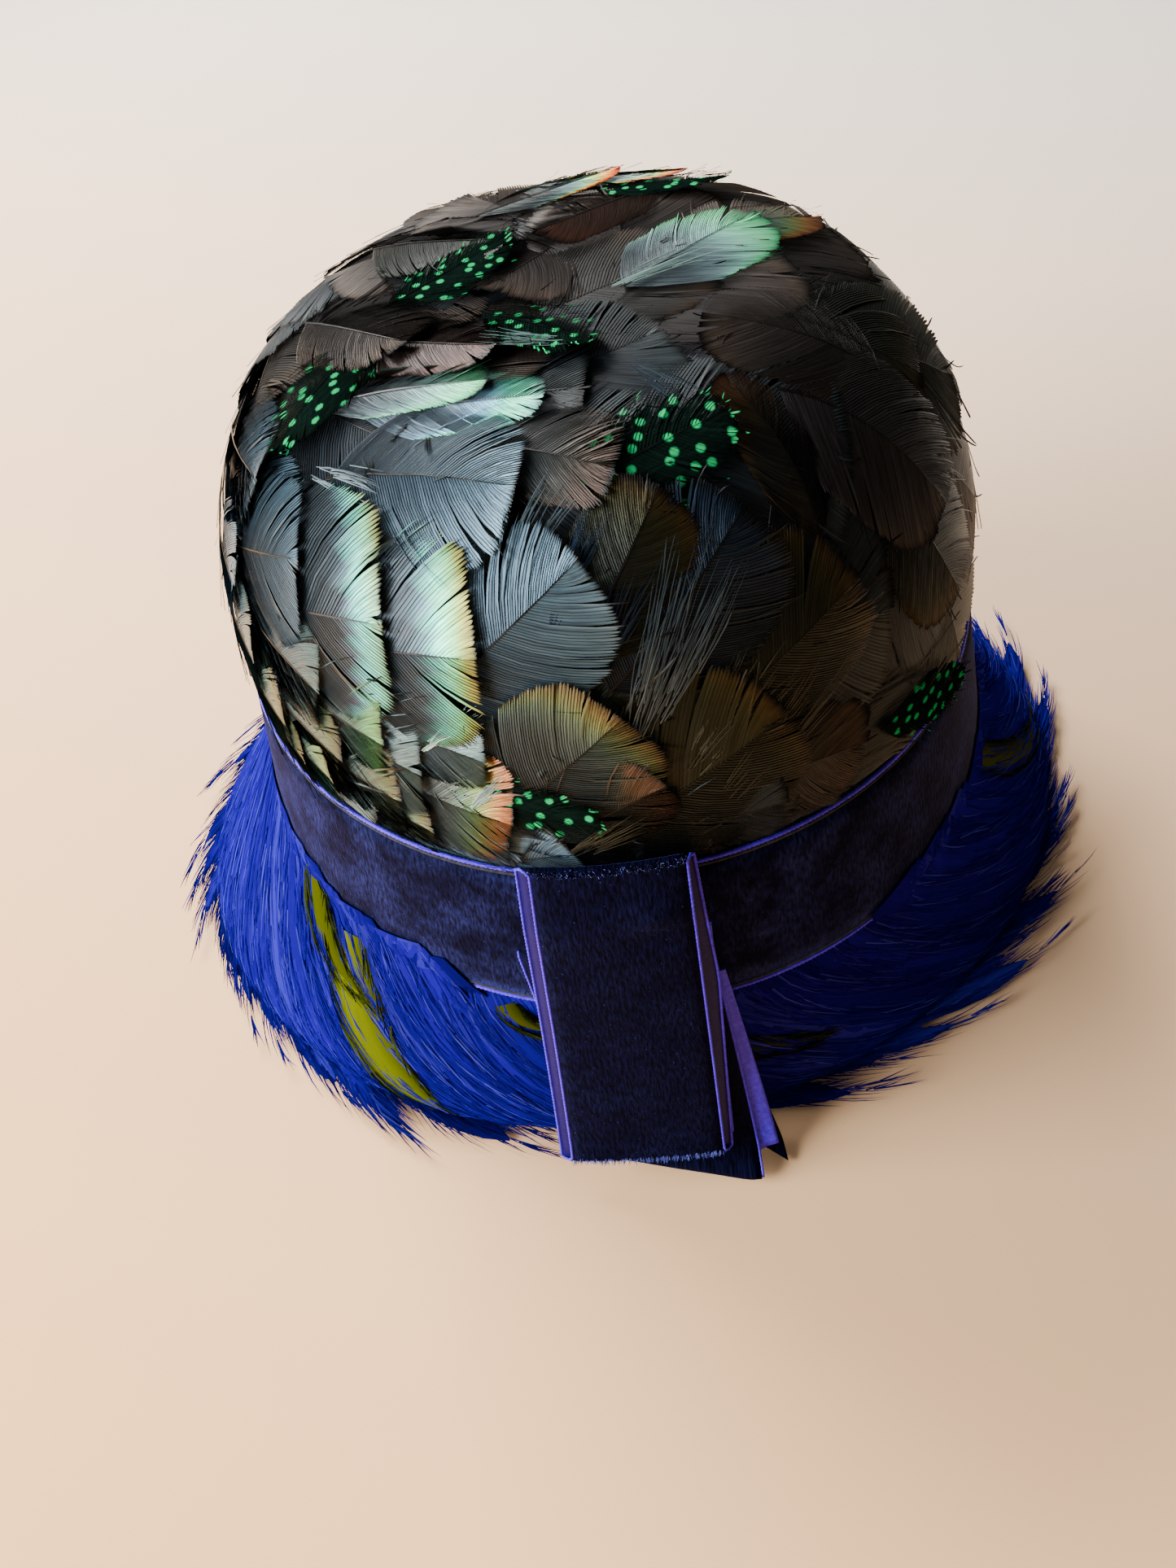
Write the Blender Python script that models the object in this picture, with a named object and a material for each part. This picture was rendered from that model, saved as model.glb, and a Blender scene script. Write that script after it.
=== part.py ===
"""A feather cloche hat: feathered crown and brim on a stiff base, a velvet ribbon band and a flat ribbon bow.

Metres, +Z up. The brim's rim rests on z = 0, +Y is the wearer's front and -Y the back, where the bow is.
The outside of the base is one surface. A place on it is an angle round the crown and a level: 0 at the rim,
1 at the band's foot, 2 at the band's top and 3 at the top of the crown.
"""
import math
import random

import bmesh
import bpy
from mathutils import Vector
from mathutils.geometry import delaunay_2d_cdt

MM = 0.001
GAP = 0.3 * MM

# Outside of the base: half width, half length, forward shift of the centre, and height
RIM = (124.0 * MM, 112.5 * MM, 10.5 * MM, 0.0)
BAND_FOOT = (89.4 * MM, 98.0 * MM, 0.0, 49.9 * MM)
BAND_TOP = (83.0 * MM, 91.5 * MM, 0.0, 89.2 * MM)
BRIM_HOLLOW = 2.0 * MM
CROWN_RISE = 75.0 * MM
CROWN_LEAN = -10.4 * MM
CROWN_SHOULDER = 5.0
CROWN_ROUNDNESS = 1.67
HAT_FORWARD = -3.5 * MM

# The base
BASE_WALL = 2.0 * MM
REST_WIDTH = 3.0 * MM
COLLAR_HEIGHT = 62.0 * MM
BASE_SIDES = 32
BRIM_LEVELS = (0.25, 0.6, 0.95, 1.08)
CAP_LEVELS = (2.0, 2.25, 2.45, 2.62, 2.76, 2.88, 2.96)

# Crown feathers: shingles on a backing, whirled round the crown's top
SHINGLES = 86
TUCKED_INSIDE = 0.6 * MM
TUCKED_OUTSIDE = 1.6 * MM
SHINGLE_INSIDE = 1.4 * MM
SHINGLE_VALLEY = 2.4 * MM
SHINGLE_ROOT = 2.7 * MM
SHINGLE_TIP = 4.3 * MM
SHINGLE_GROOVE = 0.5 * MM
SHINGLE_BULGE = 0.2
SHINGLE_CURVE = 1.3
WHIRL_PITCH = math.radians(22)
TUCK_DEPTH = 24.0 * MM
TUCK_SPARE = 2.0 * MM
TUCK_TOP = BAND_TOP[3] + 1.0 * MM
SEEDS_PER_SHINGLE = 1.4
FIRST_SEED = 0.6

# Brim feathers: long locks swept round the brim
LOCKS = 38
LOCK_SWEEP = math.radians(30)
LOCK_INSIDE = 0.6 * MM
LOCK_VALLEY = 1.7 * MM
LOCK_CREST = 3.2 * MM
LOCK_TIP_OUT = (5.0 * MM, 9.5 * MM)
LOCK_SWELL = (math.radians(-132), math.radians(16), 6.0 * MM)
LOCK_BEHIND_BOW = 5.5 * MM
BEHIND_BOW = math.radians(17)
LOCK_VALLEY_OUT = 2.2 * MM
LOCK_FLOOR = 0.5 * MM
LOCK_TIP_THICKNESS = 1.2 * MM
LOCK_TIP_SLOPE = 0.4
LOCK_TIP_LEAD = 1.12
# Rows of the locks: height on the base, and how much of the crest stands up
LOCK_ROWS = (
    (56.9 * MM, 0.0),
    (49.4 * MM, 0.0),
    (44.9 * MM, 1.0),
    (31.0 * MM, 1.0),
    (16.0 * MM, 1.0),
    (4.0 * MM, 0.85),
)

# Ribbon round the crown
BAND_INSIDE = 2.1 * MM
BAND_WALL = 1.1 * MM
BAND_SIDES = 48
EDGE_WIDTH = 1.2 * MM

# Bow at the back. The spine is the inner side of its stack: height and distance from the crown's middle
BOW_TURN = math.radians(-103)
RIBBON_WIDTH = 38.0 * MM
PLY = 1.0 * MM
LOOP_GAP = 0.4 * MM
BOW_SPINE = (
    (0.0 * MM, 122.0 * MM),
    (4.0 * MM, 113.4 * MM),
    (10.0 * MM, 110.2 * MM),
    (17.0 * MM, 108.2 * MM),
    (25.0 * MM, 106.3 * MM),
    (38.0 * MM, 103.5 * MM),
    (50.0 * MM, 101.2 * MM),
    (66.0 * MM, 98.6 * MM),
    (80.0 * MM, 96.6 * MM),
    (93.0 * MM, 95.7 * MM),
    (97.0 * MM, 95.6 * MM),
)
BOW_CURL_RADIUS = 95.0 * MM
BOW_FLAT_SHARE = 0.3
BOW_FULL_CURL = 110.0 * MM
# Loops: top, bottom, place off the spine at the top and at the bottom, depth of the change, slant and skew
FRONT_LOOP = (96.0 * MM, 8.0 * MM, 0.9 * MM, 4.3 * MM, 15.0 * MM, 0.0, 0.0)
UNDER_LOOP = (70.0 * MM, 3.2 * MM, 0.3 * MM, 0.3 * MM, 1.0 * MM, 0.12, 4.0 * MM)
# Single plies: top, bottom, place off the spine, left side, right side, slant and cut
SATIN_TAIL = (76.0 * MM, 12.0 * MM, 3.0 * MM, -14.0 * MM, 21.5 * MM, 0.03, 0.0)
VELVET_TAIL = (26.0 * MM, 2.2 * MM, -1.4 * MM, 9.0 * MM, 25.0 * MM, 0.36, 5.0 * MM)
TAIL_PLY = 0.9 * MM

# Feathers that lie on the crown: turn round its top, reach from it, length and width
SPOTTED_FEATHERS = (
    (-158, 50, 34, 19),
    (178, 24, 30, 18),
    (-98, 33, 28, 17),
    (-82, 53, 29, 16),
    (35, 40, 30, 16),
    (-107, 108, 40, 17),
    (-58, 103, 36, 16),
)
# Feathers that lie on the brim: turn and level of the root, turn and level of the tip, and width
CHARTREUSE_FEATHERS = (
    (-149, 0.97, -124, 0.08, 13),
    (-160, 0.98, -149, 0.66, 8),
    (-133, 0.95, -119, 0.72, 6),
    (-91, 0.72, -77, 0.28, 8),
    (-29, 0.92, -5, 0.16, 11),
)
ON_TOP = 0.3 * MM
QUILL_THICKNESS = 0.8 * MM
LEAF_NARROWEST = 0.25
LEAF_ROOT = 0.12
LEAF_TIP = 0.92
LEAF_TAPER = 0.5
LEAF_TILT = 0.5


def blend(start, end, share):
    """A value between start and end."""
    return start + (end - start) * share


def blend_rows(start, end, share):
    """Values between two rows of values."""
    return tuple(blend(a, b, share) for a, b in zip(start, end))


def section(level):
    """Half width, half length, centre and height of the base's outside at a level."""
    if level <= 1:
        half_width, half_length, centre, height = blend_rows(RIM, BAND_FOOT, level)
        hollow = BRIM_HOLLOW * math.sin(math.pi * max(level, 0.0))
        return half_width - hollow, half_length - hollow, centre, height
    if level <= 2:
        return blend_rows(BAND_FOOT, BAND_TOP, level - 1)
    turn = min(level - 2, 1.0) * math.pi / 2
    share = max(math.cos(turn), 0.0) ** (2 / CROWN_SHOULDER)
    climb = math.sin(turn) ** (2 / CROWN_ROUNDNESS)
    half_width, half_length, centre, height = BAND_TOP
    return half_width * share, half_length * share, centre + CROWN_LEAN * climb, height + CROWN_RISE * climb


def on_base(angle, level):
    """The point on the base's outside at an angle and a level."""
    half_width, half_length, centre, height = section(level)
    forward = HAT_FORWARD + centre + half_length * math.sin(angle)
    return Vector((half_width * math.cos(angle), forward, height))


def off_base(angle, level, out):
    """The point that stands off the base's outside, along its normal."""
    point = on_base(angle, level)
    if level > 2.99:
        return point + Vector((0, 0, out))
    step = 0.01
    around = on_base(angle + step, level) - on_base(angle - step, level)
    upward = on_base(angle, min(level + step, 3.0)) - on_base(angle, max(level - step, 0.0))
    return point + around.cross(upward).normalized() * out


def level_at(height):
    """The level of a height on the brim or band."""
    if height <= BAND_FOOT[3]:
        return height / BAND_FOOT[3]
    return 1 + (height - BAND_FOOT[3]) / (BAND_TOP[3] - BAND_FOOT[3])


def ring(level, out, sides):
    """A ring of points round the hat."""
    return [off_base(2 * math.pi * i / sides, level, out) for i in range(sides)]


def material(name, colour, roughness, metallic=0.0):
    """A plain finish for one sub-part."""
    finish = bpy.data.materials.new(name)
    finish.use_nodes = True
    shader = finish.node_tree.nodes["Principled BSDF"]
    shader.inputs["Base Color"].default_value = (*colour, 1.0)
    shader.inputs["Roughness"].default_value = roughness
    shader.inputs["Metallic"].default_value = metallic
    return finish


def finish_object(name, mesh_in_work, finish, smooth_below=40):
    """Turns a bmesh into a named object with its material, smooth but for its sharp edges."""
    bmesh.ops.recalc_face_normals(mesh_in_work, faces=mesh_in_work.faces)
    mesh = bpy.data.meshes.new(name)
    mesh_in_work.to_mesh(mesh)
    mesh_in_work.free()
    mesh.shade_smooth()
    mesh.set_sharp_from_angle(angle=math.radians(smooth_below))
    mesh.materials.append(finish)
    made = bpy.data.objects.new(name, mesh)
    bpy.context.collection.objects.link(made)
    return made


def loft(name, rings, finish, closed):
    """A body from rings of points, each joined to the next. A ring of one point closes the body to a tip."""
    work = bmesh.new()
    loops = [[work.verts.new(point) for point in points] for points in rings]
    pairs = list(zip(loops, loops[1:] + loops[:1])) if closed else list(zip(loops, loops[1:]))
    for one, other in pairs:
        sides = max(len(one), len(other))
        for i in range(sides):
            j = (i + 1) % sides
            corners = [one[i % len(one)], one[j % len(one)], other[j % len(other)], other[i % len(other)]]
            work.faces.new(list(dict.fromkeys(corners)))
    return finish_object(name, work, finish)


def plate(name, upper, lower, finish):
    """A closed plate between two grids of points, rows along it and columns across."""
    work = bmesh.new()
    rows, columns = len(upper), len(upper[0])
    top = [[work.verts.new(point) for point in row] for row in upper]
    bottom = [[work.verts.new(point) for point in row] for row in lower]
    for i in range(rows - 1):
        for j in range(columns - 1):
            for grid in (top, bottom):
                work.faces.new((grid[i][j], grid[i][j + 1], grid[i + 1][j + 1], grid[i + 1][j]))
    border = [(0, j) for j in range(columns - 1)] + [(i, columns - 1) for i in range(rows - 1)]
    border += [(rows - 1, j) for j in range(columns - 1, 0, -1)] + [(i, 0) for i in range(rows - 1, 0, -1)]
    for (i, j), (k, m) in zip(border, border[1:] + border[:1]):
        work.faces.new((top[i][j], top[k][m], bottom[k][m], bottom[i][j]))
    return finish_object(name, work, finish)


def crown_base(finish):
    """The stiff cap under the crown's feathers, open below."""
    levels = (level_at(COLLAR_HEIGHT), *CAP_LEVELS)
    inner = [ring(level, -BASE_WALL, BASE_SIDES) for level in levels]
    outer = [ring(level, 0.0, BASE_SIDES) for level in levels]
    top_inside = [off_base(0, 3.0, -BASE_WALL)]
    top_outside = [off_base(0, 3.0, 0.0)]
    return loft("crown_base", [top_inside] + inner[::-1] + outer + [top_outside], finish, closed=False)


def brim_base(finish):
    """The stiff brim with its collar inside the band, and a flat rim to rest on."""
    levels = (*BRIM_LEVELS, level_at(COLLAR_HEIGHT - GAP))
    outer = [ring(0.0, 0.0, BASE_SIDES)] + [ring(level, 0.0, BASE_SIDES) for level in levels]
    inner = [ring(level, -BASE_WALL, BASE_SIDES) for level in levels]
    foot = []
    for point in outer[0]:
        inward = Vector((point.x, point.y - HAT_FORWARD - RIM[2], 0)).normalized() * REST_WIDTH
        foot.append(point - inward)
    return loft("brim_base", outer + inner[::-1] + [foot], finish, closed=True)


def crown_map(steps=200):
    """Rows of reach and level that unroll the crown to a disc of the same area, from the top down."""
    lowest = level_at(BAND_TOP[3] - TUCK_DEPTH)
    rows = [(0.0, 3.0)]
    area = 0.0
    for i in range(steps):
        upper, lower = (blend(3.0, lowest, (i + k) / steps) for k in (0, 1))
        a, b = section(upper), section(lower)
        girth = math.pi * (a[0] + a[1] + b[0] + b[1]) / 2
        slant = math.hypot((a[0] + a[1] - b[0] - b[1]) / 2, a[3] - b[3])
        area += girth * slant
        rows.append((math.sqrt(area / math.pi), lower))
    return rows


CROWN_MAP = crown_map()
CROWN_REACH = CROWN_MAP[-1][0]


def crown_level(reach):
    """The level at a reach from the crown's top on the unrolled disc."""
    for (near, upper), (far, lower) in zip(CROWN_MAP, CROWN_MAP[1:]):
        if reach <= far:
            return blend(upper, lower, (reach - near) / (far - near))
    return CROWN_MAP[-1][1]


def crown_point(spot, out):
    """The point that stands off the crown at a spot of the unrolled disc."""
    return off_base(math.atan2(spot.y, spot.x), crown_level(spot.length), out)


def inside_lift(spot):
    """How far the inner side of the crown's feathers stands off the base at a spot of the unrolled disc."""
    return TUCKED_INSIDE if crown_level(spot.length) < 2 else SHINGLE_INSIDE


def above_band(point, out):
    """The place off the crown's surface of a point that lies on it, a little above the band."""
    climb = (point.z - BAND_TOP[3]) / CROWN_RISE
    level = 2 + math.asin(climb ** (CROWN_ROUNDNESS / 2)) * 2 / math.pi
    half_width, half_length, centre, _ = section(level)
    angle = math.atan2((point.y - HAT_FORWARD - centre) / half_length, point.x / half_width)
    return off_base(angle, level, out)


def feather_heading(spot):
    """The way that the feathers point at a spot of the unrolled disc: round the crown and a little down."""
    outward = spot.normalized()
    around = Vector((-outward.y, outward.x))
    return around * math.cos(WHIRL_PITCH) + outward * math.sin(WHIRL_PITCH)


def shingle_cells():
    """Cells of a sunflower pattern on the unrolled disc: shared corners, and each cell's corners in order."""
    golden = math.pi * (3 - math.sqrt(5))
    spread = CROWN_REACH / math.sqrt(SHINGLES)
    seeds = []
    for i in range(int(SHINGLES * SEEDS_PER_SHINGLE)):
        reach = spread * math.sqrt(i + FIRST_SEED)
        seeds.append(Vector((reach * math.cos(i * golden), reach * math.sin(i * golden))))
    points, _, triangles = delaunay_2d_cdt(seeds, [], [], 0, 1e-7)[:3]
    middles = []
    for a, b, c in (tuple(points[i] for i in triangle) for triangle in triangles):
        ab, ac = b - a, c - a
        double = 2 * (ab.x * ac.y - ab.y * ac.x)
        shift_x = (ac.y * ab.length_squared - ab.y * ac.length_squared) / double
        shift_y = (ab.x * ac.length_squared - ac.x * ab.length_squared) / double
        middles.append(a + Vector((shift_x, shift_y)))
    cells = []
    for i, seed in enumerate(points):
        if seed.length > CROWN_REACH + TUCK_SPARE:
            continue
        near = [k for k, triangle in enumerate(triangles) if i in triangle]
        near.sort(key=lambda k: math.atan2(middles[k].y - seed.y, middles[k].x - seed.x))
        cells.append((seed, near))
    for middle in middles:
        if middle.length > CROWN_REACH:
            middle *= CROWN_REACH / middle.length
    return middles, cells


def crown_feathers(finish):
    """Overlapped feathers as shingles that rise from root to tip, on a backing that follows the crown."""
    middles, cells = shingle_cells()
    work = bmesh.new()
    corner_verts, edge_verts, neighbours = {}, {}, {}
    for seed, near in cells:
        for a, b in zip(near, near[1:] + near[:1]):
            neighbours.setdefault(frozenset((a, b)), []).append(seed)
    spots = {}

    def vert_at(spot):
        vert = work.verts.new(crown_point(spot, 0.0))
        spots[vert] = spot
        return vert

    outlines = []
    for seed, near in cells:
        outline = []
        for a, b in zip(near, near[1:] + near[:1]):
            if a not in corner_verts:
                corner_verts[a] = vert_at(middles[a])
            key = frozenset((a, b))
            if key not in edge_verts:
                middle = (middles[a] + middles[b]) / 2
                sharing = neighbours[key]
                if len(sharing) == 2:
                    across = (sharing[1] - sharing[0]).normalized()
                    lean = across.dot(feather_heading(middle))
                    middle = middle + across * lean * SHINGLE_BULGE * (middles[a] - middles[b]).length
                edge_verts[key] = vert_at(middle)
            outline += [corner_verts[a], edge_verts[key]]
        outlines.append((seed, outline))
    seed_of = {work.faces.new(outline): seed for seed, outline in outlines}
    faces = list(seed_of)
    work.normal_update()

    copied = bmesh.ops.duplicate(work, geom=faces)
    inside_faces = [item for item in copied["geom"] if isinstance(item, bmesh.types.BMFace)]
    inside_of = {vert: copied["vert_map"][vert] for vert in list(spots)}
    rim_edges = [edge for face in faces for edge in face.edges if len(edge.link_faces) == 1]

    raised = {}
    for face, seed in seed_of.items():
        heading = feather_heading(seed)
        outline = [spots[vert] for vert in face.verts]
        along = [(spot - seed).dot(heading) for spot in outline]
        low, high = min(along), max(along)
        side = (high - low) / 2
        shrink = 1 - SHINGLE_GROOVE / side
        corners = []
        for spot, reach in zip(outline, along):
            share = (reach - low) / (high - low)
            lift = blend(SHINGLE_ROOT, SHINGLE_TIP, share ** SHINGLE_CURVE)
            corners.append((seed + (spot - seed) * shrink, lift))
        ridge = (seed, blend(SHINGLE_ROOT, SHINGLE_TIP, 0.5))
        raised[face] = (corners, ridge)

    places = {vert: (spot, SHINGLE_VALLEY if vert.co.z > TUCK_TOP else TUCKED_OUTSIDE)
              for vert, spot in spots.items()}

    def raised_vert(spot, lift):
        vert = work.verts.new(crown_point(spot, 0.0))
        places[vert] = (spot, lift if vert.co.z > TUCK_TOP else TUCKED_OUTSIDE)
        return vert

    shingles = []
    for face, (corners, ridge) in raised.items():
        loop = list(face.verts)
        inner_loop = [raised_vert(spot, lift) for spot, lift in corners]
        peak = raised_vert(*ridge)
        for i in range(len(loop)):
            j = (i + 1) % len(loop)
            shingles.append(work.faces.new((loop[i], loop[j], inner_loop[j], inner_loop[i])))
            shingles.append(work.faces.new((inner_loop[i], inner_loop[j], peak)))
    bmesh.ops.delete(work, geom=faces, context="FACES_ONLY")
    edges = list({edge for face in shingles for edge in face.edges})
    cut = bmesh.ops.bisect_plane(
        work, geom=list(places) + edges + shingles, dist=1e-7, plane_co=(0, 0, TUCK_TOP), plane_no=(0, 0, 1))
    for vert in (item for item in cut["geom_cut"] if isinstance(item, bmesh.types.BMVert)):
        if vert not in places:
            vert.co = above_band(vert.co, TUCKED_OUTSIDE)
    for edge in rim_edges:
        one, other = edge.verts
        work.faces.new((one, other, inside_of[other], inside_of[one]))
    for vert, (spot, lift) in places.items():
        vert.co = crown_point(spot, lift)
    for vert, inside in inside_of.items():
        inside.co = crown_point(spots[vert], inside_lift(spots[vert]))
    poked = bmesh.ops.poke(work, faces=inside_faces)
    for vert, seed in zip(poked["verts"], seed_of.values()):
        vert.co = crown_point(seed, inside_lift(seed))
    return finish_object("crown_feathers", work, finish, smooth_below=25)


def lock_tip_out(angle, chance):
    """How far a lock's tip reaches past the rim: more at the back left, and less behind the bow."""
    middle, spread, most = LOCK_SWELL
    away = (angle - middle + math.pi) % (2 * math.pi) - math.pi
    reach = chance.uniform(*LOCK_TIP_OUT) + most * math.exp(-(away / spread) ** 2)
    behind = abs((angle - BOW_TURN + math.pi) % (2 * math.pi) - math.pi) < BEHIND_BOW
    return LOCK_BEHIND_BOW if behind else reach


def brim_feathers(finish):
    """Locks of long narrow feathers that start under the band and sweep round the brim to loose tips."""
    chance = random.Random(7)
    outer, inner = [], []
    for height, relief in LOCK_ROWS:
        level = level_at(height)
        sweep = LOCK_SWEEP * (1 - level)
        above, below = [], []
        for i in range(2 * LOCKS):
            angle = math.pi * i / LOCKS + sweep
            crest = i % 2 == 0
            lift = LOCK_VALLEY + (LOCK_CREST - LOCK_VALLEY) * relief * crest
            above.append(off_base(angle, level, lift))
            below.append(off_base(angle, level, LOCK_INSIDE))
        outer.append(above)
        inner.append(below)
    above, below = [], []
    for i in range(2 * LOCKS):
        crest = i % 2 == 0
        angle = math.pi * i / LOCKS + LOCK_SWEEP * (LOCK_TIP_LEAD if crest else 1.0)
        out = lock_tip_out(angle, chance) if crest else LOCK_VALLEY_OUT
        rim = on_base(angle, 0.0)
        outward = Vector((rim.x, rim.y - HAT_FORWARD - RIM[2], 0)).normalized()
        low = rim + outward * out + Vector((0, 0, LOCK_FLOOR))
        below.append(low)
        above.append(low + (Vector((0, 0, 1)) - outward * LOCK_TIP_SLOPE) * LOCK_TIP_THICKNESS)
    return loft("brim_feathers", outer + [above] + [below] + inner[::-1], finish, closed=True)


def leaf_width(share):
    """The width of a feather along its length, as a share of its widest."""
    return blend(LEAF_NARROWEST, 1.0, math.sin(math.pi * blend(LEAF_ROOT, LEAF_TIP, share)))


def crown_leaf(name, turn, reach, length, width, finish):
    """A single feather laid on the crown's feathers."""
    middle = Vector((math.cos(math.radians(turn)), math.sin(math.radians(turn)))) * reach * MM
    heading = feather_heading(middle)
    side = Vector((-heading.y, heading.x))
    low = SHINGLE_TIP + ON_TOP
    upper, lower = [], []
    for i in range(6):
        share = i / 5
        half = width * MM / 2 * leaf_width(share)
        along = middle + heading * (share - 0.5) * length * MM
        spots = [along + side * half * k for k in (-1, 0, 1)]
        upper.append([crown_point(spot, low + QUILL_THICKNESS) for spot in spots])
        lower.append([crown_point(spot, low) for spot in spots])
    return plate(name, upper, lower, finish)


def brim_leaf(name, root_turn, root, tip_turn, tip, width, finish):
    """A single long feather laid on the brim's feathers."""
    low = LOCK_CREST + ON_TOP
    upper, lower = [], []
    for i in range(7):
        share = i / 6
        level = blend(root, tip, share)
        angle = math.radians(blend(root_turn, tip_turn, share))
        girth = (section(level)[0] + section(level)[1]) / 2
        half = width * MM / 2 * leaf_width(share) * (1 - LEAF_TAPER * share ** 3) / girth
        angles = [angle + half * k for k in (-1, 0, 1)]
        levels = [level + LEAF_TILT * half * k for k in (-1, 0, 1)]
        upper.append([off_base(a, v, low + QUILL_THICKNESS) for a, v in zip(angles, levels)])
        lower.append([off_base(a, v, low) for a, v in zip(angles, levels)])
    return plate(name, upper, lower, finish)


def band_ring(name, low, high, parts, finish):
    """A strip of ribbon round the foot of the crown, between two heights."""
    levels = [level_at(blend(low, high, i / parts)) for i in range(parts + 1)]
    outer = [ring(level, BAND_INSIDE + BAND_WALL, BAND_SIDES) for level in levels]
    inner = [ring(level, BAND_INSIDE, BAND_SIDES) for level in levels]
    return loft(name, outer + inner[::-1], finish, closed=True)


def spine_reach(height):
    """How far the bow's inner side stands from the crown's middle at a height."""
    for (low, near), (high, far) in zip(BOW_SPINE, BOW_SPINE[1:]):
        if height <= high:
            return blend(near, far, (height - low) / (high - low))
    return BOW_SPINE[-1][1]


def bow_point(across, height, out):
    """A point of the bow: across the ribbon, at a height, and outward from the stack's inner side."""
    outward = Vector((math.cos(BOW_TURN), math.sin(BOW_TURN), 0))
    sideways = Vector((-outward.y, outward.x, 0))
    step = 2 * MM
    slope = Vector((spine_reach(height + step) - spine_reach(height - step), 2 * step)).normalized()
    curl = across * across / (2 * BOW_CURL_RADIUS) * min(1.0, BOW_FLAT_SHARE + height / BOW_FULL_CURL)
    reach = spine_reach(height) + out * slope.y - curl
    return outward * reach + sideways * across + Vector((0, HAT_FORWARD, height - out * slope.x))


def ribbon_rows(path, slant, skew):
    """Sections of a ribbon whose middle runs along a path of heights and places off the spine. The slant
    moves its lower end sideways, and the skew tips its lower fold."""
    columns = 5
    top = max(height for height, out in path)
    bottom = min(height for height, out in path)
    rows = []
    for i, (height, out) in enumerate(path):
        before, after = path[i - 1], path[(i + 1) % len(path)]
        along = Vector((after[0] - before[0], after[1] - before[1])).normalized()
        normal = Vector((-along.y, along.x)) * PLY / 2
        row = []
        for sign in (1, -1):
            for k in range(columns):
                share = k / (columns - 1) if sign == 1 else 1 - k / (columns - 1)
                across = (share - 0.5) * RIBBON_WIDTH + slant * (top - height)
                tipped = height - skew * (share - 0.5) * ((top - height) / (top - bottom)) ** 3
                row.append(bow_point(across, tipped + sign * normal.x, out + sign * normal.y))
        rows.append(row)
    return rows


def stations(top, bottom):
    """Heights from top to bottom where each ply of the bow bends, shared so that the plies stay apart."""
    margin = 2 * MM
    between = [height for height, reach in BOW_SPINE if bottom + margin < height < top - margin]
    return [top] + between[::-1] + [bottom]


def loop_path(top, bottom, out_top, out_low, settle):
    """The middle line of a flat closed loop. Its outer place goes from out_top at the top to out_low."""
    def place(height):
        return blend(out_top, out_low, min((top - height) / settle, 1.0))

    apart = PLY + LOOP_GAP
    heights = stations(top - apart / 2, bottom + apart / 2)
    inside = [(height, place(height) + PLY / 2) for height in heights]
    outside = [(height, out + apart) for height, out in inside]
    low_fold = (bottom + PLY / 2, inside[-1][1] + apart / 2)
    high_fold = (top - PLY / 2, inside[0][1] + apart / 2)
    return inside + [low_fold] + outside[::-1] + [high_fold]


def bow(velvet, satin):
    """Two flat loops, the satin-side ply between them and the ribbon's cut end below."""
    for name, loop in (("bow_front_loop", FRONT_LOOP), ("bow_under_loop", UNDER_LOOP)):
        *place, slant, skew = loop
        loft(name, ribbon_rows(loop_path(*place), slant, skew), velvet, closed=True)
    bow_strip("bow_satin_tail", *SATIN_TAIL, satin)
    bow_strip("bow_velvet_tail", *VELVET_TAIL, velvet)


def bow_strip(name, top, bottom, out, left, right, slant, cut, finish):
    """A single ply of ribbon in the stack, with its lower end cut slanting by cut."""
    upper, lower = [], []
    for middle in stations(top, bottom):
        share = (top - middle) / (top - bottom)
        above, below = [], []
        for k in range(4):
            across = blend(left, right, k / 3) + slant * (top - middle)
            height = middle + cut * (1 - k / 3) * share
            above.append(bow_point(across, height, out + TAIL_PLY))
            below.append(bow_point(across, height, out))
        upper.append(above)
        lower.append(below)
    return plate(name, upper, lower, finish)


def main():
    """Builds every sub-part of the hat."""
    for item in list(bpy.data.objects):
        bpy.data.objects.remove(item, do_unlink=True)
    felt = material("felt_base", (0.02, 0.02, 0.03), 0.9)
    dark_feather = material("crown_feather", (0.05, 0.06, 0.07), 0.45)
    blue_feather = material("blue_hackle", (0.02, 0.03, 0.45), 0.6)
    spotted = material("spotted_feather", (0.01, 0.12, 0.05), 0.5)
    chartreuse = material("chartreuse_hackle", (0.30, 0.34, 0.01), 0.6)
    velvet = material("velvet_ribbon", (0.012, 0.008, 0.06), 0.95)
    satin = material("satin_ribbon", (0.12, 0.05, 0.55), 0.4)

    crown_base(felt)
    brim_base(felt)
    crown_feathers(dark_feather)
    brim_feathers(blue_feather)
    for i, row in enumerate(SPOTTED_FEATHERS):
        crown_leaf(f"spotted_feather_{i + 1}", *row, spotted)
    for i, row in enumerate(CHARTREUSE_FEATHERS):
        brim_leaf(f"chartreuse_feather_{i + 1}", *row, chartreuse)

    foot, top = BAND_FOOT[3], BAND_TOP[3]
    band_ring("band_edge_lower", foot, foot + EDGE_WIDTH, 1, satin)
    band_ring("band_edge_upper", top - EDGE_WIDTH, top, 1, satin)
    band_ring("band_velvet", foot + EDGE_WIDTH + GAP, top - EDGE_WIDTH - GAP, 2, velvet)
    bow(velvet, satin)


main()
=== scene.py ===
"""Dresses the feather cloche hat: plumage on the crown and brim, ribbon band, flat bow, felt base and stage.

Sizes are in millimetres in the tables and are turned to metres where meshes are made. An angle runs round the
hat from its right side, and a level climbs it: 0 at the rim, 1 at the band's foot, 2 at the band's top and 3
at the crown's top. Below 0 a level reaches out past the rim, along the surface that the hat stands on.
"""
import math

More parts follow.
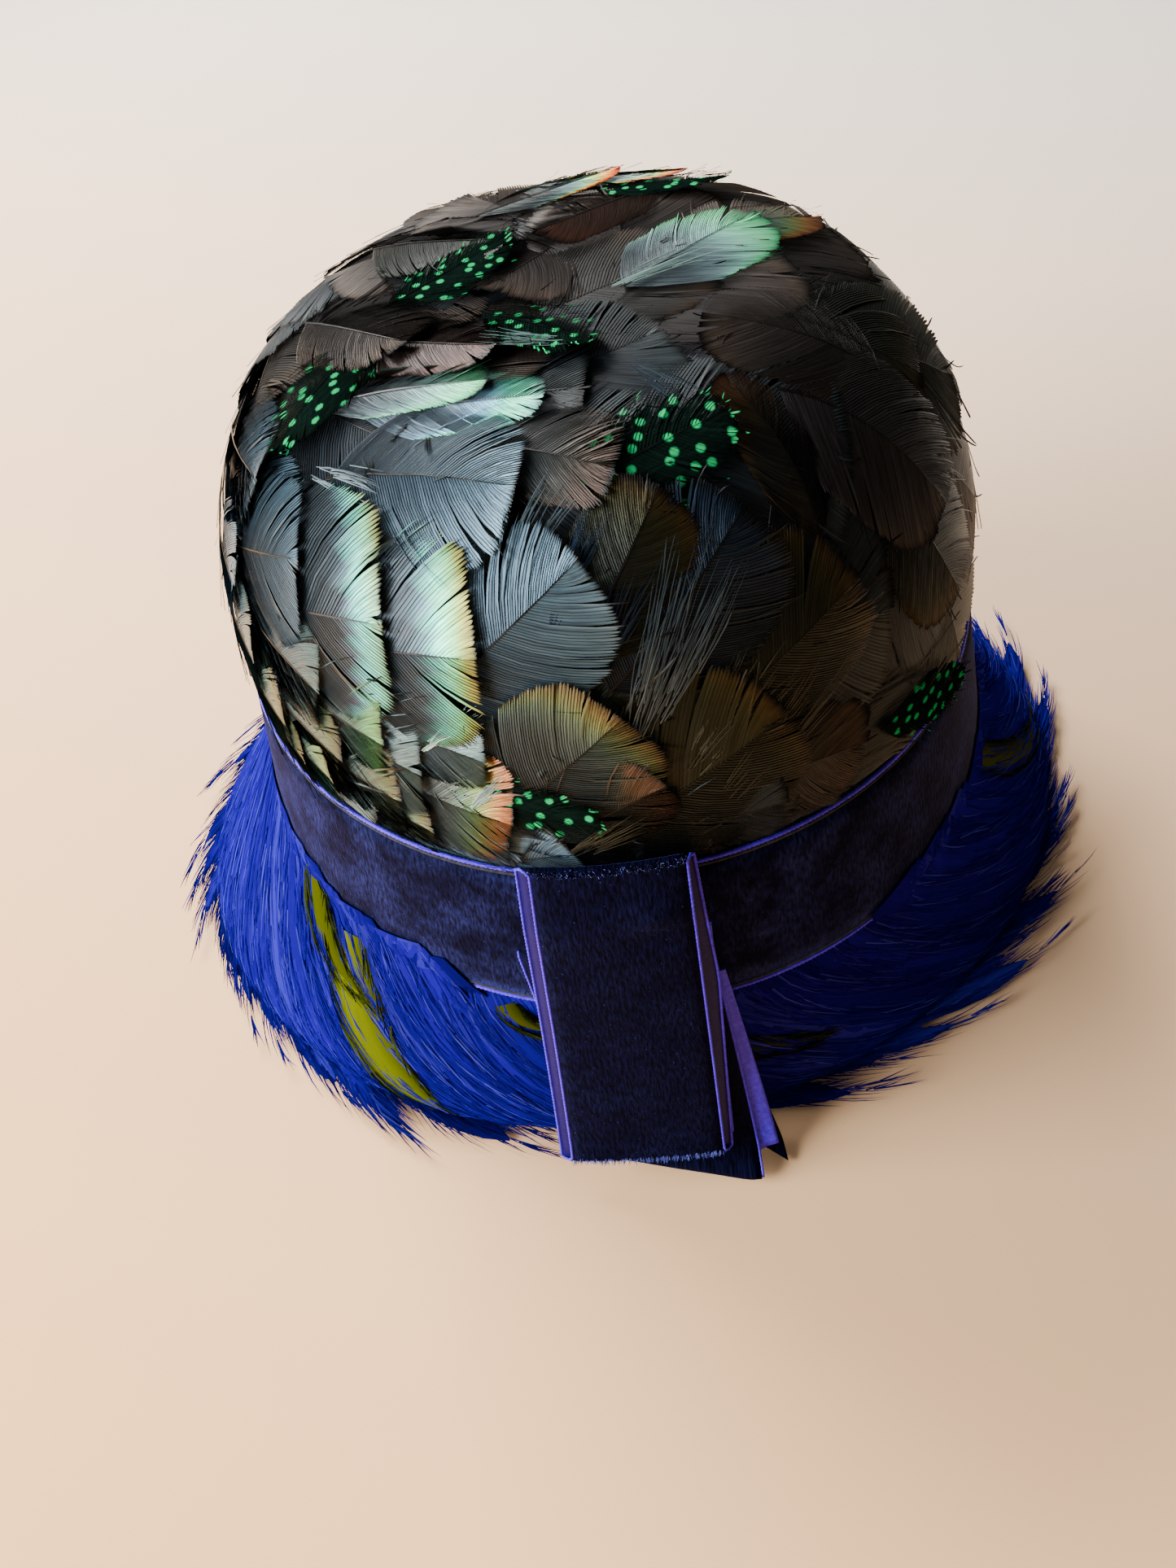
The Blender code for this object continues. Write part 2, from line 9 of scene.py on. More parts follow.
import bpy
import numpy as np
from bpy.props import FloatProperty, FloatVectorProperty, PointerProperty
from mathutils import Matrix, Vector
from mathutils.bvhtree import BVHTree


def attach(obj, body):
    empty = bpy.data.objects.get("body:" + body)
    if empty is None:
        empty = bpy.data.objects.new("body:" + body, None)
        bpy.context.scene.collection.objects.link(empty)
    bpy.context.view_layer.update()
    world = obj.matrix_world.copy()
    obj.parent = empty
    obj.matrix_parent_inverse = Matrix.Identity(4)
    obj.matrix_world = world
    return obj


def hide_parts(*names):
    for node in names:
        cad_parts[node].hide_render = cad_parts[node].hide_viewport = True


bl_info = {
    "name": "Feather cloche hat",
    "version": (1, 0, 0),
    "blender": (4, 5, 0),
    "location": "3D View > Sidebar > Hat",
    "description": "Plumage, ribbon, felt base and stage for a feather cloche hat",
    "category": "Object",
}

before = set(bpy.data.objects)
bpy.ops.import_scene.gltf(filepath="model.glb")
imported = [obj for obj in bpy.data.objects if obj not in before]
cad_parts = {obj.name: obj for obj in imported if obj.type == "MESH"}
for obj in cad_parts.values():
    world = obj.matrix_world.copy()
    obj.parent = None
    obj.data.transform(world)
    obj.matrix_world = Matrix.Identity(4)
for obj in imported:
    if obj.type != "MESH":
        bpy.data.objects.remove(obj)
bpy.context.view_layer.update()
MM = 0.001

# Outside of the base: half width, half length, forward shift of the centre, and height
RIM = (124.0, 112.5, 10.5, 0.0)
BAND_FOOT = (89.4, 98.0, 0.0, 49.9)
BAND_TOP = (83.0, 91.5, 0.0, 89.2)
# How far the brim curves in halfway up, and its length along the slant
BRIM_HOLLOW = 2.0
BRIM_SLANT = 61.0
# The crown above the ribbon: its height, how far back its top leans, and how square its plan and profile are
CROWN_RISE = 75.0
CROWN_LEAN = -10.4
CROWN_SHOULDER = 5.0
CROWN_ROUNDNESS = 1.67
# Where the base's middle lies, its wall, the level at which the cap meets the brim, and the rim's flat foot
HAT_FORWARD = -3.5
BASE_WALL = 2.0
COLLAR_LEVEL = 1.308
REST_WIDTH = 3.0
# Where the ribbon lies off the base, and its thickness and edges
BAND_INSIDE = 2.1
BAND_WALL = 1.1
EDGE_WIDTH = 1.2
SELVEDGE_WIDTH = 0.8
# Feathers lie flat under the ribbon up to a height, and rise to their own lift over the next few mm
TUCK_LOW = 88.8
TUCK_OVER = 3.0
TUCKED_LIFT = 1.6
# Highest level at which the crown's form still has a clear slope, and the step over which a slope is found
TOP_LEVEL = 2.995
SLOPE_STEP = 0.01
# From this level down to as far past the rim, feathers turn to lie on the surface that the hat stands on
LYING_LEVEL = 0.12


def linear(code):
    """The linear colour of an sRGB hex value."""
    parts = [int(code[i:i + 2], 16) / 255 for i in (1, 3, 5)]
    return tuple(p / 12.92 if p <= 0.04045 else ((p + 0.055) / 1.055) ** 2.4 for p in parts)


def section(level):
    """Half width, half length, centre and height of the hat's form, for an array of levels."""
    level = np.asarray(level, dtype=float)
    below = np.clip(level, 0, 1)[..., None]
    brim = (1 - below) * np.array(RIM) + below * np.array(BAND_FOOT)
    brim[..., :2] -= BRIM_HOLLOW * np.sin(np.pi * below)
    brim[..., :2] += np.maximum(-level, 0)[..., None] * BRIM_SLANT
    up = np.clip(level - 1, 0, 1)[..., None]
    band = (1 - up) * np.array(BAND_FOOT) + up * np.array(BAND_TOP)
    turn = np.clip(level - 2, 0, 1) * np.pi / 2
    share = np.maximum(np.cos(turn), 0) ** (2 / CROWN_SHOULDER)
    climb = np.sin(turn) ** (2 / CROWN_ROUNDNESS)
    crown = np.stack((BAND_TOP[0] * share, BAND_TOP[1] * share, CROWN_LEAN * climb,
                      BAND_TOP[3] + CROWN_RISE * climb), -1)
    return np.where(level[..., None] <= 1, brim, np.where(level[..., None] <= 2, band, crown))


def form(angle, level):
    """Points of the hat's form in millimetres."""
    angle, level = np.broadcast_arrays(np.asarray(angle, float), np.asarray(level, float))
    rows = section(level)
    across = rows[..., 0] * np.cos(angle)
    forward = HAT_FORWARD + rows[..., 2] + rows[..., 1] * np.sin(angle)
    return np.stack((across, forward, rows[..., 3]), -1)


def unit(rows):
    """Rows scaled to length one."""
    return rows / np.maximum(np.linalg.norm(rows, axis=-1, keepdims=True), 1e-9)


def run_of(steps):
    """The way run at each point of a line, from the lengths of its steps."""
    return np.concatenate(((0,), np.cumsum(steps)))


def outward(angle, level):
    """The form's outward normals. Past the rim they turn to straight up."""
    around = form(angle + SLOPE_STEP, level) - form(angle - SLOPE_STEP, level)
    climb = form(angle, np.minimum(level + SLOPE_STEP, TOP_LEVEL))
    climb = climb - form(angle, np.minimum(level, TOP_LEVEL - SLOPE_STEP) - SLOPE_STEP)
    normal = unit(np.cross(around, climb))
    lying = np.clip((LYING_LEVEL - level) / (2 * LYING_LEVEL), 0, 1)[..., None]
    return unit(normal * (1 - lying) + np.array((0, 0, 1.0)) * lying)


def standing(angle, level, out):
    """Points that stand off the form by out, in millimetres."""
    angle, level, out = np.broadcast_arrays(np.asarray(angle, float), level, out)
    return form(angle, level) + outward(angle, level) * out[..., None]


def quad_mesh(name, points, faces, finishes, slots=None):
    """A smooth object from points in millimetres and four-cornered faces."""
    mesh = bpy.data.meshes.new(name)
    mesh.vertices.add(len(points))
    mesh.vertices.foreach_set("co", (np.asarray(points) * MM).astype(np.float32).ravel())
    mesh.loops.add(faces.size)
    mesh.loops.foreach_set("vertex_index", faces.astype(np.int32).ravel())
    mesh.polygons.add(len(faces))
    mesh.polygons.foreach_set("loop_start", np.arange(0, faces.size, 4, dtype=np.int32))
    mesh.polygons.foreach_set("loop_total", np.full(len(faces), 4, dtype=np.int32))
    mesh.polygons.foreach_set("use_smooth", np.ones(len(faces), dtype=bool))
    for finish in finishes:
        mesh.materials.append(finish)
    if slots is not None:
        mesh.polygons.foreach_set("material_index", np.asarray(slots, dtype=np.int32))
    mesh.update(calc_edges=True)
    made = bpy.data.objects.new(name, mesh)
    bpy.context.collection.objects.link(made)
    return made


class Sheaf:
    """Collects the strips of many feathers and makes one mesh of them."""

    def __init__(self):
        self.points, self.faces, self.tints, self.vane, self.atlas = [], [], [], [], []
        self.count = 0

    def add(self, points, faces, tints, vane, atlas):
        """Takes points in mm, four-cornered faces, colours, barb places and places in the baked picture."""
        self.points.append(points)
        self.faces.append(faces + self.count)
        self.tints.append(tints)
        self.vane.append(vane)
        self.atlas.append(atlas)
        self.count += len(points)

    def make(self, name, finish):
        """The mesh object, with its colours as an attribute and two UV maps."""
        faces = np.concatenate(self.faces)
        made = quad_mesh(name, np.concatenate(self.points), faces, (finish,))
        mesh = made.data
        tints = np.concatenate(self.tints)
        tints = np.concatenate((tints, np.ones((len(tints), 1))), -1)
        layer = mesh.color_attributes.new(name="plume", type="FLOAT_COLOR", domain="POINT")
        layer.data.foreach_set("color", tints.astype(np.float32).ravel())
        for title, rows in (("OFBake", self.atlas), ("vane", self.vane)):
            uv = mesh.uv_layers.new(name=title)
            uv.data.foreach_set("uv", np.concatenate(rows)[faces.ravel()].astype(np.float32).ravel())
        mesh.uv_layers.active = mesh.uv_layers["OFBake"]
        return made


def grid_faces(rows, columns, closed=False):
    """Faces of a grid of points, numbered row by row. A closed grid joins its last column to its first."""
    start = np.arange(rows - 1)[:, None] * columns + np.arange(columns if closed else columns - 1)
    column = start % columns
    after = start - column + (column + 1) % columns
    return np.stack((start, after, after + columns, start + columns), -1).reshape(-1, 4)


def strip_faces(strips, steps):
    """Faces of many strips with two points at each of their steps."""
    one = np.arange(steps - 1)[:, None] * 2 + np.array((0, 1, 3, 2))
    return (np.arange(strips)[:, None, None] * steps * 2 + one).reshape(-1, 4)


def crown_tree():
    """A fine copy of the crown and band to lay feathers on."""
    angles = np.linspace(0, 2 * np.pi, 160, endpoint=False)
    levels = np.concatenate((np.linspace(0.9, 2, 12), np.linspace(2, TOP_LEVEL - SLOPE_STEP, 60)[1:]))
    points = form(angles, levels[:, None]).reshape(-1, 3)
    count = len(angles)
    start = len(points) - count
    faces = grid_faces(len(levels), count, closed=True).tolist()
    faces += [(start + j, start + (j + 1) % count, len(points)) for j in range(count)]
    verts = [Vector(p) for p in points] + [Vector(form(0.0, np.array(3.0)))]
    return BVHTree.FromPolygons(verts, faces)


CROWN_TREE = crown_tree()


def settle(points, lift):
    """Moves points onto the crown's form and then out by lift, in millimetres. Below its top edge the ribbon
    holds the feathers down."""
    laid = np.empty_like(points)
    for i, point in enumerate(points):
        place, normal, _, _ = CROWN_TREE.find_nearest(point)
        free = min(max((place.z - TUCK_LOW) / TUCK_OVER, 0.0), 1.0)
        laid[i] = place + normal * (lift[i] * free + min(lift[i], TUCKED_LIFT) * (1 - free))
    return laid


def blend_stops(palette, behind):
    """A palette's colours at distances behind a feather's tip edge."""
    places, codes = zip(*(stop.split() for stop in PALETTES[palette].split(", ")))
    places = [float(place) for place in places]
    colours = np.array([linear(code) for code in codes])
    return np.stack([np.interp(behind, places, colours[:, i]) for i in range(3)], -1)


# Colours across a broad feather, from its tip edge back: each a distance in mm and a colour
PALETTES = {
    "gilt": "0 #080604, 0.25 #22160d, 0.8 #74482c, 2.5 #985e38, 4.5 #907c44, 7 #6c9058, 9.5 #587068, "
            "14 #465256, 24 #384246, 50 #262c30",
    "gold": "0 #080705, 0.25 #1c1a10, 0.8 #56482c, 2.2 #766a40, 4 #6f7c4c, 6 #5c7460, 9 #4a5a58, 14 #3c484a, "
            "24 #343e42, 50 #262c30",
    "pearl": "0 #080a09, 0.25 #2c3020, 0.8 #7c7440, 2.4 #909848, 4.2 #78cc80, 6.5 #68dcc0, 8.5 #5c8088, "
             "11 #3a444a, 24 #2a3238, 50 #20262a",
    # Frost: the iridescent band with a painted highlight, brighter cyan and white where the window light
    # falls
    "frost_highlight": "0 #0a0c0c, 0.25 #303c3a, 0.8 #58b8a4, 2.4 #6cf0d8, 5.5 #74e8ec, 7.5 #6c7086, 9.5 #3e484e, "
             "14 #2c363b, 24 #2a3238, 50 #20262a",
    "moss": "0 #0a0a08, 0.25 #20201a, 0.8 #484632, 2.5 #565e40, 5 #4e6450, 9 #4c605a, 16 #485a5a, 50 #3c484c",
    "fern": "0 #0a0c08, 0.25 #20281a, 0.8 #4c6a3c, 2.5 #5c9054, 5 #4c805c, 8 #4a685e, 14 #48585c, 50 #3c484c",
    "tin": "0 #08090a, 0.3 #1c2222, 1.2 #4c5e58, 4 #506462, 9 #4e6066, 24 #48585e, 50 #3c484e",
    "steel": "0 #090b0c, 0.3 #1a2022, 1.2 #648090, 4 #546e7e, 9 #465e6c, 24 #384854, 50 #2a343c",
    "slate": "0 #060708, 0.8 #101416, 2 #2a3234, 5 #262e32, 10 #20272d, 50 #14181c",
    "umber": "0 #060504, 0.8 #14100c, 2.5 #33261b, 6 #2a231c, 12 #1e1d1b, 50 #121212",
    "olive": "0 #050504, 0.8 #100e08, 2 #382d18, 4.5 #2a2a18, 9 #1b2018, 50 #101312",
    "fawn": "0 #0a0908, 0.8 #241e1a, 2.5 #4e433b, 6 #463e3a, 12 #383433, 50 #1c1b1b",
    "rust": "0 #080605, 0.8 #24140e, 3 #563226, 10 #3e2820, 50 #1a1615",
    "copper": "0 #060504, 0.4 #1c120c, 1.2 #4c3222, 4 #503a28, 8 #383224, 12 #20221f, 50 #121516",
    "ember": "0 #1c0e08, 0.5 #b04c20, 2.2 #ff7430, 4.2 #f0c050, 6.5 #98e090, 10 #688c8c, 16 #2c3436, "
             "50 #14181a",
    "mint": "0 #12201a, 0.4 #3c7c54, 2 #62d894, 5 #84ecb4, 9 #88c8b8, 14 #6c8488, 22 #38444a, 50 #171d1f",
    "teal": "0 #121c1a, 0.5 #5c8c80, 2.5 #70ccb0, 6 #58d8ac, 10 #70a4c4, 15 #506472, 50 #1a2024",
    "inky": "0 #030605, 1.5 #08120e, 6 #0a1712, 50 #0b1512",
    "dusk": "0 #040609, 0.8 #0c121a, 3 #1c2a3a, 8 #182430, 50 #0e141a",
}
# The iris palette is gilt below the first of these heights and pearl above the second, in mm. To the left of
# the first of these places it turns from pearl to the frost palette, which it reaches at the second. Frost is
# the iridescent band painted brighter cyan and white: a painted highlight on the side where the window light
# falls
SHEEN_TURN = (116.0, 127.0)
SHEEN_LEFT = (-44.0, -56.0)
# A dull feather fades to slate, but not to slate's own dark tip edge: its depth in mm
DULL_FROM = 1.5
# A dark fringe ends every barb: its depth in mm, and its brightness
FRINGE = 0.55
FRINGE_TONE = 0.30
# Half width of a shaft at its root and tip, its length as a share of the feather's, and its lift, in mm
SHAFT_HALF = (0.26, 0.07)
SHAFT_REACH = 0.93
SHAFT_LIFT = 0.24
# The lift between a barb's two edges in mm, and how far a feather's sides droop
BARB_TWIST = 0.14
SIDE_DROOP = 0.7
# Places along a barb where its strip has points: close together at the tip, where the colours change
BARB_STEPS = np.array((0, 0.3, 0.55, 0.72, 0.84, 0.92, 0.965, 1.0))
BARB_FILL = np.array((0.52, 0.52, 0.52, 0.51, 0.50, 0.44, 0.34, 0.10))
# Where a feather's outline starts, as a share of its length
VANE_FOOT = 0.36


def plume_colour(palette, glow, behind, points):
    """Colours of a broad feather at points, by their distance behind its tip edge."""
    if palette == "iris":
        high = np.clip((points[:, 2] - SHEEN_TURN[0]) / (SHEEN_TURN[1] - SHEEN_TURN[0]), 0, 1)[:, None]
        # Towards the left, where the window light falls, pearl turns to the frost palette's painted highlight
        left = np.clip((points[:, 0] - SHEEN_LEFT[0]) / (SHEEN_LEFT[1] - SHEEN_LEFT[0]), 0, 1)[:, None]
        upper = blend_stops("pearl", behind) * (1 - left) + blend_stops("frost_highlight", behind) * left
        colour = upper * high + blend_stops("gilt", behind) * (1 - high)
    else:
        colour = blend_stops(palette, behind)
    return blend_stops("slate", np.maximum(behind, DULL_FROM)) * (1 - glow) + colour * glow


def atlas_spots(cell, across, along):
    """Places in the baked picture, inside a feather's own cell of it."""
    column, row, columns, rows = cell
    across, along = (np.clip(share, 0.02, 0.98) for share in (across, along))
    return np.stack(((column + across) / columns, (row + along) / rows), -1)


def shaft_ends(root_turn, root, tip_turn, tip):
    """The form's points at a shaft's root and tip, each an angle in degrees and a level."""
    return (form(math.radians(turn), np.array(level)) for turn, level in ((root_turn, root), (tip_turn, tip)))


def vane_outline(length, half, squareness):
    """One side of a feather's outline, from its widest part to its tip: share of the way, along, across."""
    turn = np.linspace(0, np.pi / 2, 200)
    across = half * np.maximum(np.cos(turn), 0) ** (2 / squareness)
    across[-1] = 0.0
    along = length * (VANE_FOOT + (1 - VANE_FOOT) * np.sin(turn) ** (2 / squareness))
    run = run_of(np.hypot(np.diff(along), np.diff(across)))
    return run / run[-1], along, across


def broad_feather(sheaf, cell, root, tip, length, width, palette, chance, squareness, rise, curl, splits,
                  loose, glow=1.0, shaft="#1d1c1b", barbs=58, marks=False):
    """One broad feather on the crown. Its barbs are strips that part into locks and end in a dark fringe.
    The shaft runs through the root and ends at the tip. Its hidden foot reaches back to the full length."""
    root, tip = Vector(root), Vector(tip)
    anchor, normal, _, _ = CROWN_TREE.find_nearest((root + tip) / 2)
    heading = tip - root
    heading = (heading - normal * heading.dot(normal)).normalized()
    side = normal.cross(heading)
    half = width / 2
    run, outline_s, outline_t = vane_outline(length, half, squareness)

    def rise_at(up):
        """The shaft's lift at a share of the feather's length."""
        return rise[0] + (rise[1] - rise[0]) * up + curl * np.maximum(up, 0) ** 6

    share = (np.arange(barbs) + 0.5) / barbs
    points, tints, vane = [], [], []
    bend = chance.normal(0, 1.2)
    uneven = chance.uniform(-0.14, 0.14)
    for sign in (-1, 1):
        # Splits part the barbs into locks, each with its own lift, length and shade
        bounds = np.concatenate(((0.0,), np.sort(chance.uniform(0.10, 0.97, splits)), (1.0,)))
        lock = np.searchsorted(bounds, share, side="right") - 1
        centre = np.where(lock == splits, 1.0, (bounds[lock] + bounds[lock + 1]) / 2)
        gape = (chance.uniform(0.0, 1.0, splits + 1) ** 2 * 0.22 + 0.01)[lock]
        lock_lift = chance.uniform(-0.2, 0.6, splits + 1)[lock]
        ragged = 1 + chance.uniform(-0.035, 0.012, barbs) + chance.normal(0, 0.012, splits + 1)[lock]
        # Free barbs are thinner and reach past the edge
        free = chance.random(barbs) < loose
        ragged = np.where(free, ragged + chance.uniform(0.05, 0.22, barbs), ragged)
        thin = np.where(free, 0.45, 1.0)
        shade = chance.uniform(0.84, 1.16, barbs) * chance.uniform(0.85, 1.15, splits + 1)[lock]
        fill = BARB_FILL * np.where(BARB_STEPS > 0.6, thin[:, None], 1.0) / barbs
        edge = share[:, None, None] + np.array((-1, 1)) * fill[..., None]
        e = (BARB_STEPS * ragged[:, None])[..., None] + 0 * edge
        # The barbs of a lock close up towards its middle, and a free one strays
        bent = centre[:, None, None] + (edge - centre[:, None, None]) * (1 - gape[:, None, None] * e ** 2)
        inside = np.clip(bent + (free * chance.normal(0, 0.02, barbs))[:, None, None] * e ** 3, 0, 1)
        reach_s = np.interp(inside, run, outline_s)
        reach_t = np.interp(inside, run, outline_t) * (1 + sign * uneven)
        # A barb is a curve that leaves the shaft and bends out to its place on the outline
        start = length * (0.02 + 0.91 * inside)
        s = (1 - e) ** 2 * start + 2 * e * (1 - e) * (start + 0.36 * (reach_s - start)) + e ** 2 * reach_s
        t = 2 * e * (1 - e) * 0.56 * reach_t + e ** 2 * reach_t
        spread = np.clip(t / half / (1 + sign * uneven), 0, 1)
        tip_line = length * (VANE_FOOT + (1 - VANE_FOOT) * (1 - spread ** squareness) ** (1 / squareness))
        behind = np.where(e > 1, 0.2, np.maximum(tip_line - s, 0))
        up = s / length
        lift = rise_at(up) - SIDE_DROOP * spread ** 2 * up + lock_lift[:, None, None] * e ** 2
        lift = lift + np.array((0.0, BARB_TWIST))
        lift = lift + (free * chance.uniform(0, 1.2, barbs))[:, None, None] * e ** 2
        points.append(np.stack((s, t * sign + bend * (up - 0.5) ** 2, lift), -1).reshape(-1, 3))
        tints.append(np.stack((behind, shade[:, None, None] + 0 * e), -1).reshape(-1, 2))
        spots = (t * sign, s) if marks else (edge * barbs + 100 * sign, e * 20)
        vane.append(np.stack(spots, -1).reshape(-1, 2))
    steps = len(BARB_STEPS)
    up = np.repeat(np.linspace(0, SHAFT_REACH, steps), 2)
    across = np.tile((-1, 1), steps) * np.repeat(np.linspace(*SHAFT_HALF, steps), 2) + bend * (up - 0.5) ** 2
    points.append(np.stack((up * length, across, rise_at(up) + SHAFT_LIFT), -1))
    vane.append(np.stack((across, up * length), -1))

    local = np.concatenate(points)
    back = local[:, 0] - (length - (tip - anchor).length)
    laid = settle(np.array(anchor) + np.outer(back, heading) + np.outer(local[:, 1], side), local[:, 2])
    behind, shade = np.concatenate(tints).T
    colour = plume_colour(palette, glow, behind, laid[:len(behind)])
    fringe = FRINGE_TONE + (1 - FRINGE_TONE) * np.clip(behind / FRINGE, 0, 1)
    colour = colour * (fringe * shade)[:, None]
    colour = np.concatenate((colour, np.tile(linear(shaft), (2 * steps, 1))))
    faces = np.concatenate((strip_faces(2 * barbs, steps), strip_faces(1, steps) + 4 * barbs * steps))
    atlas = atlas_spots(cell, 0.5 + 0.46 * local[:, 1] / half, 0.03 + 0.92 * local[:, 0] / length)
    sheaf.add(laid, faces, colour, np.concatenate(vane), atlas)


# The corner of the baked picture that holds the loose barbs
WISP_CORNER = (0.975, 0.995)


def barb_bundle(sheaf, root_turn, root, tip_turn, tip, fan, count, lift, colour, chance):
    """A bundle of thin loose barbs that fans out over the crown's feathers."""
    steps = 7
    share = np.linspace(0, 1, steps)[None, :, None]
    start, end = shaft_ends(root_turn, root, tip_turn, tip)
    normal = np.array(CROWN_TREE.find_nearest(Vector((start + end) / 2))[1])
    side = unit(np.cross(normal, end - start))
    spread = chance.uniform(-0.55, 0.55, count)[:, None, None]
    begin = chance.uniform(0, 0.45, count)[:, None, None]
    along = begin + chance.uniform(0.35, 0.6, count)[:, None, None] * share
    bow = (0.012 + chance.normal(0, 0.01, count))[:, None, None] * np.linalg.norm(end - start)
    aside = fan * spread * (0.3 + 0.7 * along) + bow * 4 * share * (1 - share)
    path = start + (end - start) * along + side * aside
    thin = np.interp(share, (0, 0.6, 1), (0.09, 0.07, 0.02))
    edges = np.stack((path - side * thin, path + side * thin), 2)
    height = lift + chance.uniform(-0.5, 0.5, count)[:, None] * share[..., 0]
    laid = settle(edges.reshape(-1, 3), np.repeat(height.ravel(), 2))
    tone = np.array(linear(colour)) * chance.uniform(0.5, 1.5, count)[:, None]
    lane = np.repeat(chance.uniform(0, 900, count), steps * 2)
    column = np.repeat(chance.uniform(*WISP_CORNER, count), steps * 2)
    ladder = np.tile(np.repeat(share.ravel(), 2), count)
    row = WISP_CORNER[0] + (WISP_CORNER[1] - WISP_CORNER[0]) * ladder
    sheaf.add(laid, strip_faces(count, steps), np.repeat(tone, steps * 2, axis=0),
              np.stack((lane, ladder * 20), -1), np.stack((column, row), -1))


CROWN_DISC = 126.0
# How far the crown's feathers point down from straight round it: angle and pitch in degrees
PITCHES = ((-180, 12), (-140, 6), (-110, -4), (-85, -2), (-62, 28), (-40, 48), (-20, 62), (30, 70), (90, 62),
           (140, 34), (180, 12))
# Feathers that stand out at the back: a place on the shaft, the tip's place, width, palette, squareness, glow
PLUMES = (
    (-174, 2.62, -160, 2.64, 26, "steel", 4.0, 1.0),
    (-176, 2.44, -161, 2.42, 24, "steel", 4.5, 1.0),
    (-162, 2.50, -145, 2.58, 32, "steel", 5.0, 1.0),
    (-172, 2.32, -156, 2.30, 26, "tin", 6.0, 1.0),
    (-165, 2.22, -150, 2.20, 26, "moss", 7.0, 1.0),
    (-158, 2.13, -147, 2.13, 20, "moss", 7.0, 1.0),
    (-150, 2.47, -129, 2.54, 42, "iris", 6.0, 1.0),
    (-134, 2.48, -116, 2.51, 40, "iris", 6.0, 1.0),
    (-151, 2.38, -140, 2.36, 24, "tin", 7.0, 1.0),
    (-148, 2.24, -138, 2.22, 25, "moss", 8.0, 1.0),
    (-149, 2.14, -141, 2.14, 20, "fern", 8.0, 1.0),
    (-139, 2.32, -130, 2.31, 25, "fern", 8.0, 1.0),
    (-138, 2.19, -129, 2.18, 25, "moss", 8.0, 1.0),
    (-134, 2.28, -125, 2.27, 30, "tin", 8.0, 1.0),
    (-125, 2.21, -114, 2.18, 30, "gilt", 8.0, 1.0),
    (-133, 2.13, -125, 2.12, 20, "moss", 7.0, 1.0),
    (-124, 2.12, -115, 2.11, 17, "tin", 7.0, 1.0),
    (-124, 2.34, -116, 2.33, 18, "tin", 5.0, 1.0),
    (-132, 2.77, -111, 2.77, 30, "steel", 4.2, 0.7),
    (-117, 2.50, -102, 2.66, 30, "steel", 4.0, 0.85),
    (-113, 2.23, -99, 2.41, 32, "gold", 4.4, 0.75),
    (-108, 2.16, -95, 2.27, 24, "copper", 3.4, 0.7),
    (-100, 2.19, -79, 2.34, 42, "olive", 4.0, 1.0),
    (-92, 2.14, -80, 2.14, 24, "slate", 4.2, 1.0),
    (-82, 2.21, -68, 2.18, 28, "umber", 4.2, 1.0),
    (-98, 2.62, -89, 2.74, 20, "olive", 4.4, 1.0),
    (-112, 2.83, -95, 2.78, 19, "copper", 5.0, 0.5),
    (-94, 2.52, -78, 2.68, 30, "dusk", 4.0, 1.0),
    (-84, 2.40, -66, 2.50, 34, "olive", 4.0, 1.0),
    (-144, 2.85, -107, 2.90, 16, "teal", 3.0, 1.0),
    (-155, 2.84, -123, 2.92, 12, "mint", 3.0, 0.6),
    (-172, 2.90, -127, 2.96, 20, "rust", 3.6, 0.6),
    (165, 2.79, -156, 2.93, 24, "fawn", 3.6, 1.0),
    (130, 2.95, 114, 2.99, 26, "inky", 3.0, 1.0),
    (58, 2.96, 99, 2.99, 22, "rust", 5.0, 1.0),
    (-75, 2.995, 7, 2.90, 26, "mint", 3.4, 1.0),
    (6, 2.93, 4, 2.80, 18, "gilt", 3.0, 0.7),
    (92, 2.93, 60, 2.87, 12, "ember", 3.0, 1.0),
    (58, 2.88, 42, 2.85, 10, "ember", 3.0, 0.5),
    (-44, 2.83, -54, 2.94, 26, "fawn", 4.2, 1.0),
    (-68, 2.70, -68, 2.86, 13, "copper", 3.2, 1.0),
    (-57, 2.79, -46, 2.47, 32, "fawn", 4.0, 0.8),
    (-56, 2.64, -47, 2.30, 28, "olive", 4.0, 1.0),
)
# Loose bundles of thin barbs: where they start and end, width of the fan's end in mm, count, lift and colour
# The palest, the first two rows in pale cyan, paint the sheen that lit barbs catch: a painted highlight. The
# dark ones are the barbs' own colours
WISPS = (
    (-125.0, 2.32, -116.5, 2.42, 3.4, 34, 4.4, "#a8d4d0"),
    (-119.5, 2.21, -112.8, 2.31, 3.0, 30, 4.4, "#a0ccd0"),
    (-106.5, 2.56, -97.5, 2.75, 5.0, 46, 4.4, "#28384e"),
    (-101.0, 2.50, -93.0, 2.66, 9.0, 36, 4.2, "#222c38"),
    (-98.0, 2.36, -81.6, 2.70, 16.0, 64, 4.4, "#4c5a62"),
    (-92.0, 2.28, -78.0, 2.46, 14.0, 40, 4.2, "#464c48"),
    (-88.0, 2.20, -70.0, 2.40, 14.0, 34, 4.2, "#3a3a30"),
    (-99.0, 2.965, -140.0, 2.965, 6.0, 34, 5.0, "#5c7c78"),
    (-84.0, 2.93, -76.0, 2.80, 8.0, 24, 4.4, "#30404c"),
    (-112.0, 2.64, -101.0, 2.80, 9.0, 26, 4.2, "#56666e"),
    (-150.0, 2.72, -132.0, 2.73, 8.0, 24, 4.0, "#6c7c82"),
    (-60.0, 2.995, -5.0, 2.93, 9.0, 26, 4.6, "#7c9c94"),
    (-108.0, 2.10, -97.0, 2.20, 8.0, 30, 4.4, "#3c4038"),
)
# The cell of a feather that has a baked picture of its own: column, row, columns and rows
WHOLE_PICTURE = (0, 0, 1, 1)
